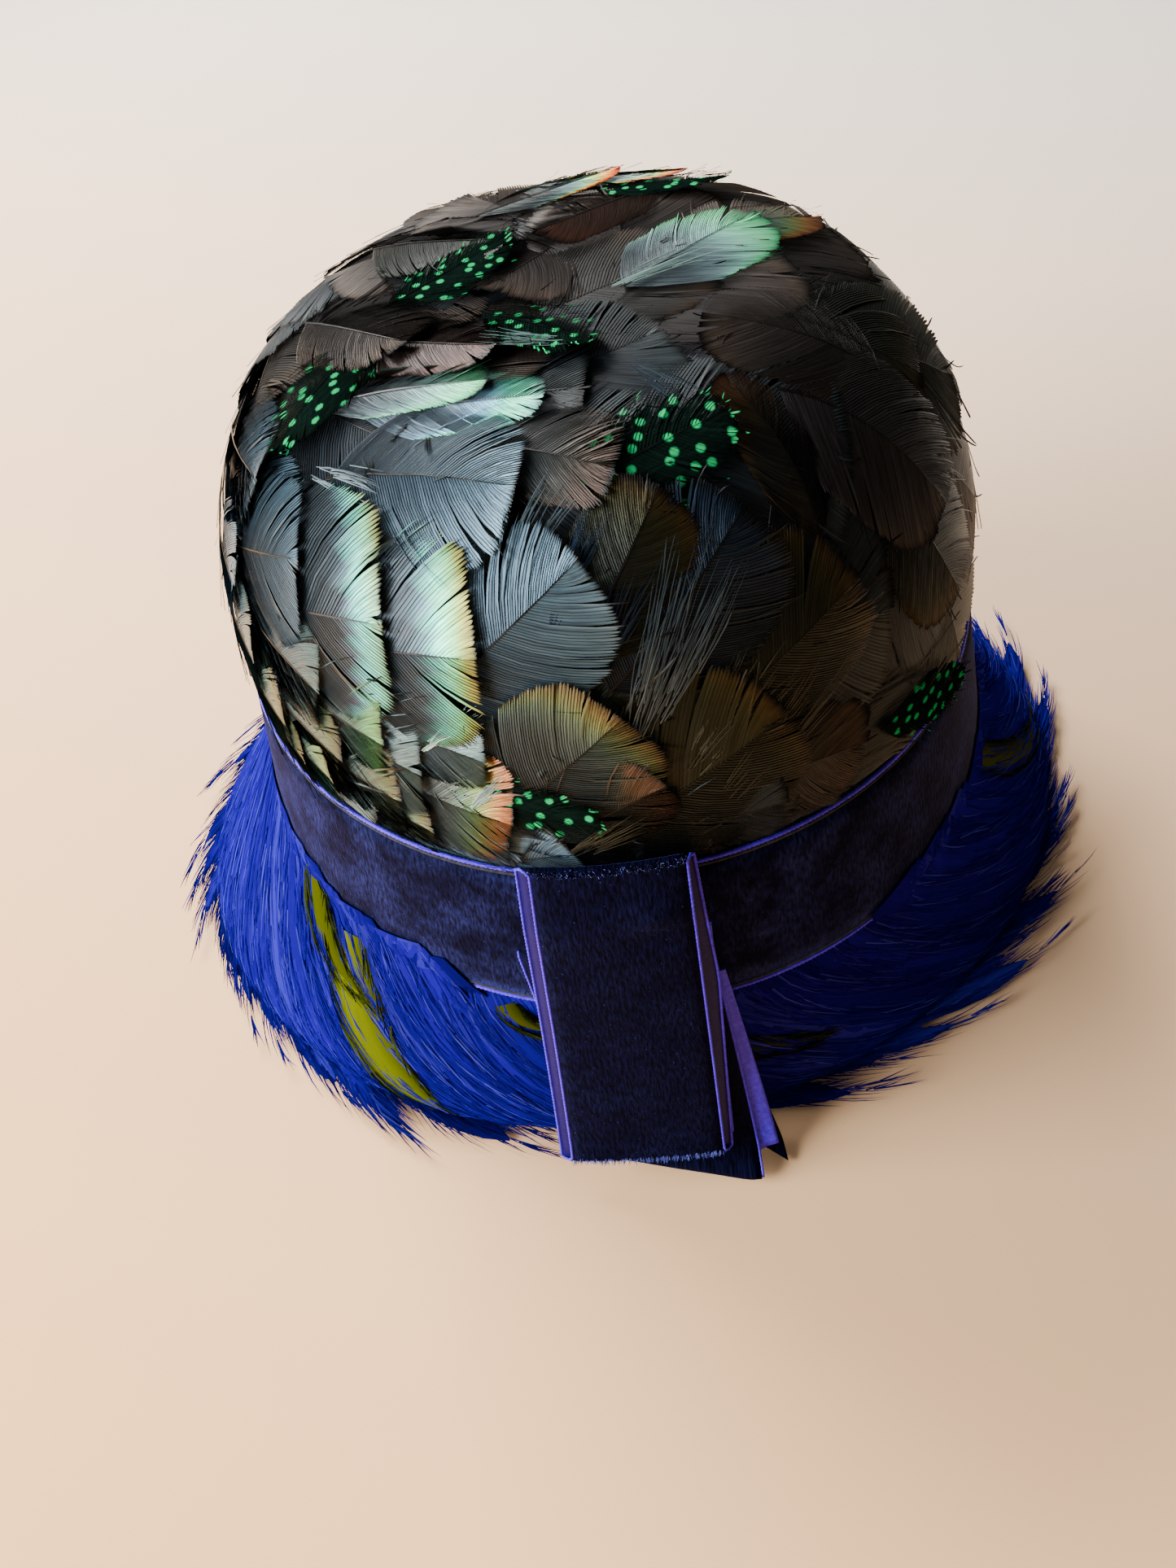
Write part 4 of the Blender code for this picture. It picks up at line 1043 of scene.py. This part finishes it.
def feather_finish(name, metallic, roughness, relief, stretch, tones, gloss, dots=None):
    """Feather keratin: satin gloss along fine parallel barbs, coloured barb by barb from the mesh."""
    made, shader = new_material(name, Metallic=metallic, Roughness=roughness, Specular_IOR_Level=gloss)
    colour = add_node(made, "Attribute", {"attribute_name": "plume"})
    uv = add_node(made, "UVMap", {"uv_map": "vane"})
    stretched = add_node(made, "Mapping", {"Scale": (*stretch, 1.0)}, {"Vector": (uv, "UV")})
    streak = add_node(made, "TexNoise", {"Scale": 1.0, "Detail": 3.0}, {"Vector": (stretched, "Vector")})
    ramp = add_node(made, "MapRange",
                    {"From Min": 0.3, "From Max": 0.7, "To Min": tones[0], "To Max": tones[1]},
                    {"Value": (streak, "Fac")})
    tone = add_node(made, "VectorMath", {"operation": "SCALE"},
                    {0: (colour, "Color"), "Scale": (ramp, "Result")})
    seen = (tone, "Vector")
    if dots:
        spots = add_node(made, "TexVoronoi", {"voronoi_dimensions": "2D", "Scale": 0.27, "Randomness": 0.75},
                         {"Vector": (uv, "UV")})
        inside = add_node(made, "MapRange",
                          {"From Min": 0.15, "From Max": 0.24, "To Min": 1.0, "To Max": 0.0},
                          {"Value": (spots, "Distance")})
        dotted = add_node(made, "Mix", {"data_type": "RGBA", COLOUR_B: (*dots, 1)},
                          {0: (inside, "Result"), COLOUR_A: seen})
        seen = (dotted, MIXED)
    finish_surface(made, shader, seen, (streak, "Fac"), relief, 0.0003)
    return made


def velvet_finish(name, colour, light, rub_and_sheen):
    """Rayon velvet: a dark pile that brightens at glancing angles, with rubbed patches and a little lint. The
    patches lighten towards the sheen colour: partly crushed pile and partly painted sheen.
    """
    made, shader = new_material(name, Roughness=0.8, Sheen_Weight=0.24, Sheen_Roughness=0.3,
                                Specular_IOR_Level=0.03, Sheen_Tint=(*light, 1))
    place = (add_node(made, "Attribute", {"attribute_name": "weave"}), "Vector")
    rub_and_sheen_noise = add_node(made, "TexNoise", {"Scale": 0.085, "Detail": 3.0, "Roughness": 0.6}, {"Vector": place})
    patch = add_node(made, "MapRange", {"From Min": 0.38, "From Max": 0.9}, {"Value": (rub_and_sheen_noise, "Fac")})
    # Rows of pile, drawn about 0.7 mm apart where the real ones are 0.4 mm
    rows = add_node(made, "Mapping", {"Scale": (1.4, 0.45, 1.0)}, {"Vector": place})
    pile = add_node(made, "TexNoise", {"Scale": 1.0, "Detail": 2.0}, {"Vector": (rows, "Vector")})
    strand = add_node(made, "MapRange", {"From Min": 0.35, "From Max": 0.68, "To Min": 0.35, "To Max": 1.75},
                      {"Value": (pile, "Fac")})
    # Rubbed patches lighten towards the sheen colour: partly crushed pile and partly painted sheen
    worn_and_sheen = tuple((1 - rub_and_sheen) * a + rub_and_sheen * b for a, b in zip(colour, light))
    base = add_node(made, "Mix", {"data_type": "RGBA", COLOUR_A: (*colour, 1), COLOUR_B: (*worn_and_sheen, 1)},
                    {0: (patch, "Result")})
    tone = add_node(made, "VectorMath", {"operation": "SCALE"},
                    {0: (base, MIXED), "Scale": (strand, "Result")})
    specks = add_node(made, "TexVoronoi", {"Scale": 0.42}, {"Vector": place})
    lint = add_node(made, "MapRange", {"From Min": 0.05, "From Max": 0.09, "To Min": 0.5, "To Max": 0.0},
                    {"Value": (specks, "Distance")})
    seen = add_node(made, "Mix", {"data_type": "RGBA", COLOUR_B: (*(0.35 * c for c in light), 1)},
                    {0: (lint, "Result"), COLOUR_A: (tone, "Vector")})
    finish_surface(made, shader, (seen, MIXED), (pile, "Fac"), 0.6, 0.0006)
    return made


def grained(made, shader, scale, detail, one, other, relief, depth, **more):
    """A fine grain on the piece's own coordinates, between two colours, with its relief."""
    place = add_node(made, "TexCoord")
    grain = add_node(made, "TexNoise", {"Scale": scale, "Detail": detail, **more},
                     {"Vector": (place, "Object")})
    share = add_node(made, "MapRange", {"From Min": 0.3, "From Max": 0.7}, {"Value": (grain, "Fac")})
    seen = add_node(made, "Mix", {"data_type": "RGBA", COLOUR_A: (*one, 1), COLOUR_B: (*other, 1)},
                    {0: (share, "Result")})
    finish_surface(made, shader, (seen, MIXED), (grain, "Fac"), relief, depth)
    return made


def satin_finish(name, colour, light):
    """Rayon satin: a smooth weave with a soft broad gloss, and fine threads about 1 mm long."""
    made, shader = new_material(name, Roughness=0.42, Specular_IOR_Level=0.1)
    return grained(made, shader, 900.0, 2.0, colour, light, 0.25, 0.0003)


def felt_finish(name, colour, sheen=0.08):
    """Pressed wool felt: matt and mottled, with a short nap."""
    made, shader = new_material(name, Roughness=0.92, Sheen_Weight=sheen, Sheen_Roughness=0.6,
                                Specular_IOR_Level=0.2)
    darker, lighter = tuple(0.6 * c for c in colour), tuple(min(1.0, 1.9 * c + 0.004) for c in colour)
    return grained(made, shader, 700.0, 5.0, darker, lighter, 0.5, 0.0008, Roughness=0.65)


def plaster_finish(name, colour, far):
    """Matt painted plaster with the faintest mottle. Its tint drifts from warm at the left to near white:
    painted warm light from the left.
    """
    made, shader = new_material(name, Roughness=0.85)
    place = (add_node(made, "TexCoord"), "Object")
    mottle = add_node(made, "TexNoise", {"Scale": 9.0, "Detail": 4.0}, {"Vector": place})
    along = add_node(made, "VectorMath", {"operation": "DOT_PRODUCT", 1: (0.75, 0.66, 0)}, {0: place})
    warm_light_drift = add_node(made, "MapRange", {"From Min": -0.25, "From Max": 0.75}, {"Value": (along, "Value")})
    tint = add_node(made, "Mix", {"data_type": "RGBA", COLOUR_A: (*colour, 1), COLOUR_B: (*far, 1)},
                    {0: (warm_light_drift, "Result")})
    tone = add_node(made, "MapRange", {"To Min": 1.0, "To Max": 0.95}, {"Value": (mottle, "Fac")})
    shade = add_node(made, "VectorMath", {"operation": "SCALE"},
                     {0: (tint, MIXED), "Scale": (tone, "Result")})
    wire(made, shader, {"Base Color": (shade, "Vector")})
    return made


def length_setting(name, default, least, description):
    """A length in metres that the user may change."""
    return FloatProperty(name=name, description=description, default=default, min=least, unit="LENGTH")


def colour_setting(name, code, description):
    """A colour that the user may change."""
    return FloatVectorProperty(name=name, description=description, default=linear(code), min=0, max=1, size=3,
                               subtype="COLOR")


def power_setting(name, default, description):
    """A lamp's power that the user may change."""
    return FloatProperty(name=name, description=description, default=default, min=0, unit="POWER")


class HatSettings(bpy.types.PropertyGroup):
    """Sizes and colours of the hat's dress."""
    feather_length: length_setting("Feather length", 0.046, 0.02, "Length of the crown's broad feathers")
    feather_width: length_setting("Feather width", 0.042, 0.01, "Width of the crown's broad feathers")
    feather_step: length_setting("Feather step", 0.0122, 0.008, "Least distance between feathers along them")
    feather_row: length_setting("Feather row", 0.029, 0.012, "Least distance between feathers across them")
    hackle_colour: colour_setting("Hackles", "#22069c", "Colour of the brim's feathers")
    hackle_sheen: colour_setting("Hackle sheen", "#666aee", "Colour of the brim's lit barbs")
    chartreuse_colour: colour_setting("Chartreuse", "#748006", "Colour of the yellow-green feathers")
    dot_colour: colour_setting("Dots", "#189858", "Colour of the dots on the dark feathers")
    velvet_colour: colour_setting("Velvet", "#030318", "Colour of the ribbon's pile")
    velvet_light: colour_setting("Velvet sheen", "#5058b0", "Colour of the pile at a glancing angle")
    satin_colour: colour_setting("Satin", "#3c1eb4", "Colour of the ribbon's back and edges")
    felt_colour: colour_setting("Felt", "#10121c", "Colour of the base")
    floor_colour: colour_setting("Floor", "#fabd78", "Colour of the floor")
    key_power: power_setting("Window light", 52.5, "Power of the broad light from the left")
    top_power: power_setting("Top light", 60.0, "Power of the soft light from above the front")


def ride(pieces):
    """Fixes pieces to the hat."""
    for piece in pieces:
        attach(piece, "root")


# Points round the felt base, and the gap between the cap's foot and the brim's collar, in levels
BASE_COLUMNS = 96
COLLAR_GAP = 0.008


class HAT_OT_base(bpy.types.Operator):
    """Makes the smooth felt cap and brim"""
    bl_idname = "hat.base"
    bl_label = "Felt base"

    def execute(self, context):
        felt = felt_finish("blocked_wool_felt", tuple(context.scene.hat.felt_colour))
        angles = np.linspace(0, 2 * np.pi, BASE_COLUMNS, endpoint=False)
        levels = np.concatenate((np.linspace(COLLAR_LEVEL, 2, 5), np.linspace(2, 2.97, 22)[1:], (2.994,)))
        outer, inner = (standing(angles, levels[:, None], out) for out in (0.0, -BASE_WALL))
        cap = capped_tube("felt_cap", np.concatenate((inner[::-1], outer)), (felt,))
        rise = np.concatenate((np.linspace(0.0, 1.0, 16), np.linspace(1.0, COLLAR_LEVEL - COLLAR_GAP, 4)[1:]))
        outer = standing(angles, rise[:, None], 0.0)
        rim = outer[0] = form(angles, 0.0)
        inner = standing(angles, rise[3:, None], -BASE_WALL)
        foot = rim - unit(rim - np.array((0, HAT_FORWARD + RIM[2], 0))) * REST_WIDTH
        brim = closed_shell("felt_brim", np.concatenate((outer, inner[::-1], foot[None])), (felt,))
        ride((cap, brim))
        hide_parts("crown_base")
        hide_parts("brim_base")
        return {"FINISHED"}


class HAT_OT_crown(bpy.types.Operator):
    """Covers the crown with whirled broad feathers"""
    bl_idname = "hat.crown_plumage"
    bl_label = "Crown feathers"

    def execute(self, context):
        # The feathers on top have a metallic sheen, and those below are duller
        vane = {"relief": 0.6, "stretch": (1.4, 0.07), "tones": (0.40, 1.0)}
        finish = feather_finish("turkey_vane", metallic=0.42, roughness=0.34, gloss=0.12, **vane)
        matt = feather_finish("turkey_vane_matt", metallic=0.16, roughness=0.42, gloss=0.08, **vane)
        pieces = crown_plumage(context.scene.hat, finish, matt)
        ride(pieces)
        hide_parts("crown_feathers")
        return {"FINISHED"}


class HAT_OT_spotted(bpy.types.Operator):
    """Lays the dark feathers with rows of green dots on the crown"""
    bl_idname = "hat.spotted_feathers"
    bl_label = "Spotted feathers"

    def execute(self, context):
        # Deep black without gloss, so that only the dots catch the eye
        finish = feather_finish("guinea_fowl_vane", metallic=0.0, roughness=0.42, relief=0.4,
                                stretch=(2.4, 0.3), tones=(0.5, 1.0), gloss=0.0,
                                dots=tuple(context.scene.hat.dot_colour))
        chance = np.random.default_rng(23)
        for n, (*ends, width) in enumerate(SPOTTED):
            sheaf = Sheaf()
            broad_feather(sheaf, WHOLE_PICTURE, *shaft_ends(*ends), SPOTTED_LENGTH, width, "inky", chance,
                          squareness=2.3, rise=(3.2, 5.2), curl=0.8, splits=6, loose=0.3, shaft="#101414",
                          barbs=40, marks=True)
            piece = sheaf.make(f"guinea_feather_{n + 1}", finish)
            ride((piece,))
            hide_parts(f"spotted_feather_{n + 1}")
        return {"FINISHED"}


# Shades of the hackles' colour, and shares of their sheen. The lower coat has the first six shades alone
DARK_SHADES = (0.55, 0.7, 0.85, 1.0, 1.0, 1.0, 1.0)
LIT_SHADES = (0.06, 0.15, 0.4)


class HAT_OT_brim(bpy.types.Operator):
    """Sweeps long blue hackles round the brim"""
    bl_idname = "hat.brim_hackles"
    bl_label = "Brim hackles"

    def execute(self, context):
        settings = context.scene.hat
        base, light = np.array(settings.hackle_colour), np.array(settings.hackle_sheen)
        blues = np.array([base * shade for shade in DARK_SHADES]
                         + [base * (1 - share) + light * share for share in LIT_SHADES])
        # Dyed through and soft, so it has colour but no gloss
        finish = feather_finish("dyed_cock_hackle", metallic=0.0, roughness=0.38, relief=0.4,
                                stretch=(1.9, 0.04), tones=(0.3, 0.72), gloss=0.0)
        under = brim_plumage("hackles_under", UNDER_RINGS, blues[:6], finish, seed=3)
        over = brim_plumage("hackles_over", OVER_RINGS, blues, finish, seed=5)
        ride((under, over))
        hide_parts("brim_feathers")
        return {"FINISHED"}


class HAT_OT_chartreuse(bpy.types.Operator):
    """Lays the yellow-green feathers among the blue ones"""
    bl_idname = "hat.chartreuse_feathers"
    bl_label = "Chartreuse feathers"

    def execute(self, context):
        lime = np.array(context.scene.hat.chartreuse_colour)
        darks = np.array([linear(code) for code in ("#12180a", "#20280c", "#3d4a10", "#0c1018")])
        # A soft web, dull yellow-green along its middle and nearly black at its edges
        finish = feather_finish("dyed_olive_hackle", metallic=0.0, roughness=0.45, relief=0.3,
                                stretch=(1.9, 0.05), tones=(0.3, 0.55), gloss=0.0)
        chance = np.random.default_rng(31)
        for n, (angle, level, sweep, drop, width, lift, bright) in enumerate(CHARTREUSE):
            sheaf = Sheaf()
            hackle(sheaf, WHOLE_PICTURE, math.radians(angle), level, math.radians(sweep), drop, width, lift,
                   darks, chance, stripe=lime * bright, barbs=40, reach=(6, 15), over=level > 1)
            piece = sheaf.make(f"chartreuse_hackle_{n + 1}", finish)
            ride((piece,))
            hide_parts(f"chartreuse_feather_{n + 1}")
        return {"FINISHED"}


class HAT_OT_band(bpy.types.Operator):
    """Wraps the velvet ribbon with its satin edges round the crown's foot"""
    bl_idname = "hat.ribbon_band"
    bl_label = "Ribbon band"

    def execute(self, context):
        settings = context.scene.hat
        # The band's pile is rubbed lighter in patches, more than the bow's. The patches take the sheen
        # colour, a painted sheen that makes the band read lit and the bow shaded
        velvet = velvet_finish("rayon_velvet_band", tuple(settings.velvet_colour),
                               tuple(settings.velvet_light), 0.16)
        satin = satin_finish("rayon_satin_edge", tuple(settings.satin_colour),
                             tuple(min(1.0, 1.5 * c + 0.01) for c in settings.satin_colour))
        # A matt line of dark thread between the pile and the satin
        cord = felt_finish("woven_cotton_selvedge", linear("#26262a"), sheen=0.0)
        tall = BAND_TOP[3] - BAND_FOOT[3]
        edge, line = EDGE_WIDTH / tall, SELVEDGE_WIDTH / tall
        velvet_ring = band_ring("ribbon_velvet", 1 + edge + line, 2 - edge - line, velvet, crush=0.10)
        upper = picot_ring("ribbon_picot_upper", 2 - edge / 2, satin, ribs=560)
        lower = picot_ring("ribbon_picot_lower", 1 + edge / 2, satin, ribs=600)
        trims = [band_ring(f"ribbon_selvedge_{word}", low, low + line * 0.85, cord, parts=2)
                 for word, low in (("lower", 1 + edge + 0.002), ("upper", 2 - edge - line * 0.9))]
        ride((velvet_ring,))
        ride((upper, lower))
        ride(trims)
        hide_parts("band_velvet")
        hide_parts("band_edge_upper")
        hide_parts("band_edge_lower")
        rows = section(np.linspace(1.05, 1.95, 9))
        return {"FINISHED"}


# Bow loops: top, bottom, place of the inner side at the top and below, and the fall over which it settles
FRONT_LOOP = (96, 8, 0.9, 4.3, 15)
UNDER_LOOP = (70, 3.2, 0.3, 0.3, 1)
# Left and right edges at a loop's top. The front loop's inner ply shows its satin past the outer one, and its
# edges move out by these spreads towards its foot
UNDER_EDGES = (-19.0, 19.0)
FRONT_INNER, INNER_SPREAD = (-15.4, 17.6), 2.9
FRONT_OUTER, OUTER_SPREAD = (-12.8, 16.3), (2.9, 2.4)
# Single plies: top, bottom, place of the inner side, and the left and right edge. An edge has a place across,
# how far it moves out for each mm down, and the height from which it does
SATIN_TAIL = (76, 12, 3.0, (-14, 0, 76), (20.2, 0.02, 76))
SATIN_LOWER = (60, 4.5, 1.3, (18.2, 0.12, 70), (20.6, 0.17, 70))
VELVET_TAIL = (26, 2.2, -1.4, (9, 0.36, 26), (25, 0.36, 26))
# Share of the satin's colour in the loops' satin side, which lies in shade
BACK_TONE = 0.12


def front_edges(height, ply):
    """Left and right edge of the front loop at a height, from its inner ply, 0, to its outer ply, 1."""
    top, bottom = FRONT_LOOP[:2]
    low = np.clip((top - height) / (top - bottom), 0, 1)
    inner = (FRONT_INNER[0] - INNER_SPREAD * low, FRONT_INNER[1] + INNER_SPREAD * min(1.0, low * 2.6))
    outer = (FRONT_OUTER[0] - OUTER_SPREAD[0] * low, FRONT_OUTER[1] + OUTER_SPREAD[1] * low)
    return [a * (1 - ply) + b * ply for a, b in zip(inner, outer)]


class HAT_OT_bow(bpy.types.Operator):
    """Folds the flat bow of velvet ribbon at the back"""
    bl_idname = "hat.bow"
    bl_label = "Bow"

    def execute(self, context):
        settings = context.scene.hat
        # Far less painted sheen in the bow's patches, so that the bow reads in shade
        velvet = velvet_finish("rayon_velvet_bow", tuple(settings.velvet_colour),
                               tuple(settings.velvet_light), 0.03)
        satin = bpy.data.materials["rayon_satin_edge"]
        # The same satin inside the loops, where it hardly catches light
        backing = tuple(BACK_TONE * c for c in settings.satin_colour)
        both = (velvet, satin_finish("rayon_satin_back", backing, tuple(1.3 * c for c in backing)))
        line = loop_line(*FRONT_LOOP)
        front, front_grid = ribbon_loop("bow_front", line, front_edges, both, crumples=BOW_CRUMPLES)
        under, under_grid = ribbon_loop("bow_under", loop_line(*UNDER_LOOP), lambda height, ply: UNDER_EDGES,
                                        both, slant=0.12, skew=4.0)
        tail = open_ply("bow_satin_end", *SATIN_TAIL, (satin,))
        lower = open_ply("bow_satin_lower", *SATIN_LOWER, (satin,), cut=-1.0, thick=0.36)
        end = open_ply("bow_velvet_end", *VELVET_TAIL, (velvet,), cut=5.0)
        picot = bow_picot((front_grid, under_grid), satin)
        # Single fibres of the pile where it stands up at the folds, coloured from the pile's sheen colour: a
        # painted sheen along the folds
        pile_hair_sheen = felt_finish("rayon_pile_hair", tuple(0.6 * c for c in settings.velvet_light))
        fuzz = fold_pile(line, front_grid[0], pile_hair_sheen)
        ride((front, under, end))
        ride((tail, lower, picot))
        ride((fuzz,))
        for piece, node in ((front, "bow_front_loop"), (under, "bow_under_loop"), (tail, "bow_satin_tail"),
                            (end, "bow_velvet_tail")):
            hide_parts(node)
        return {"FINISHED"}


# The camera as it was fitted to the photograph: its place in metres, and its ways right, up and ahead. Its
# focal length and the frame's height are in pixels, and its sensor in mm
CAMERA_PLACE = (-0.03378, -0.23351, 0.27008)
CAMERA_RIGHT = (0.96567565, -0.22902348, -0.12255114)
CAMERA_UP = (0.25184907, 0.71005193, 0.65757)
CAMERA_AHEAD = (0.0635813, 0.66586373, -0.74335921)
FOCAL_PIXELS = 1450
FRAME_HEIGHT = 1927
SENSOR = 36.0
# Square lamps that face the hat's middle: name, place in metres, the setting that holds the power, and tint
LAMPS = (
    ("window_light", (-1.04, -0.14, 0.42), "key_power", (0.97, 0.98, 1.0)),
    ("top_light", (-0.45, 1.05, 1.15), "top_power", (1.0, 0.97, 0.93)),
)
LAMP_SIZE = 0.80
HAT_MIDDLE = Vector((0, 0, 0.09))
FLOOR_SIZE = 8.0
# The room's own light
ROOM_TINT = (1.0, 0.95, 0.88, 1)
ROOM_STRENGTH = 0.17


class HAT_OT_stage(bpy.types.Operator):
    """Sets the floor, the camera and the lights"""
    bl_idname = "hat.stage"
    bl_label = "Floor, camera and lights"

    def execute(self, context):
        settings = context.scene.hat
        bpy.ops.object.select_all(action="DESELECT")
        bpy.ops.mesh.primitive_plane_add(size=FLOOR_SIZE, location=(0, 0, 0))
        plane = context.object
        plane.name = "floor"
        # The floor's colour is the warm end of a painted warm light from the left, and it drifts to near
        # white
        plaster = plaster_finish("painted_plaster", tuple(settings.floor_colour), linear("#fbf4ea"))
        plane.data.materials.append(plaster)
        bpy.ops.object.camera_add()
        camera = context.object
        camera.name = "photo_camera"
        camera.data.sensor_width = SENSOR
        camera.data.lens = SENSOR * FOCAL_PIXELS / FRAME_HEIGHT
        camera.data.clip_start = 0.01
        turned = Matrix((CAMERA_RIGHT, CAMERA_UP, -Vector(CAMERA_AHEAD))).transposed().to_4x4()
        camera.matrix_world = Matrix.Translation(CAMERA_PLACE) @ turned
        context.scene.camera = camera
        for name, place, power, tint in LAMPS:
            bpy.ops.object.light_add(type="AREA")
            lamp = context.object
            lamp.name = name
            lamp.data.size = LAMP_SIZE
            lamp.data.energy = getattr(settings, power)
            lamp.data.color = tint
            aim = (Vector(place) - HAT_MIDDLE).to_track_quat("Z", "Y").to_matrix().to_4x4()
            lamp.matrix_world = Matrix.Translation(place) @ aim
        world = bpy.data.worlds.new("studio")
        world.use_nodes = True
        background = world.node_tree.nodes["Background"].inputs
        background["Color"].default_value = ROOM_TINT
        background["Strength"].default_value = ROOM_STRENGTH
        context.scene.world = world
        return {"FINISHED"}


class HAT_PT_panel(bpy.types.Panel):
    """Sizes, colours and steps of the hat's dress"""
    bl_idname = "HAT_PT_panel"
    bl_label = "Feather cloche hat"
    bl_space_type = "VIEW_3D"
    bl_region_type = "UI"
    bl_category = "Hat"

    def draw(self, context):
        for name in HatSettings.__annotations__:
            self.layout.prop(context.scene.hat, name)
        for step in STEPS:
            self.layout.operator(step.bl_idname)


STEPS = (HAT_OT_base, HAT_OT_crown, HAT_OT_spotted, HAT_OT_brim, HAT_OT_chartreuse, HAT_OT_band, HAT_OT_bow,
         HAT_OT_stage)
CLASSES = (HatSettings, *STEPS, HAT_PT_panel)


def register():
    """Adds the hat's classes and its settings."""
    for item in CLASSES:
        bpy.utils.register_class(item)
    bpy.types.Scene.hat = PointerProperty(type=HatSettings)


def unregister():
    """Removes them again."""
    del bpy.types.Scene.hat
    for item in reversed(CLASSES):
        bpy.utils.unregister_class(item)


def main():
    """Dresses the hat step by step."""
    register()
    bpy.ops.hat.base()
    bpy.ops.hat.crown_plumage()
    bpy.ops.hat.spotted_feathers()
    bpy.ops.hat.brim_hackles()
    bpy.ops.hat.chartreuse_feathers()
    bpy.ops.hat.ribbon_band()
    bpy.ops.hat.bow()
    bpy.ops.hat.stage()


if __name__ == "__main__":
    main()
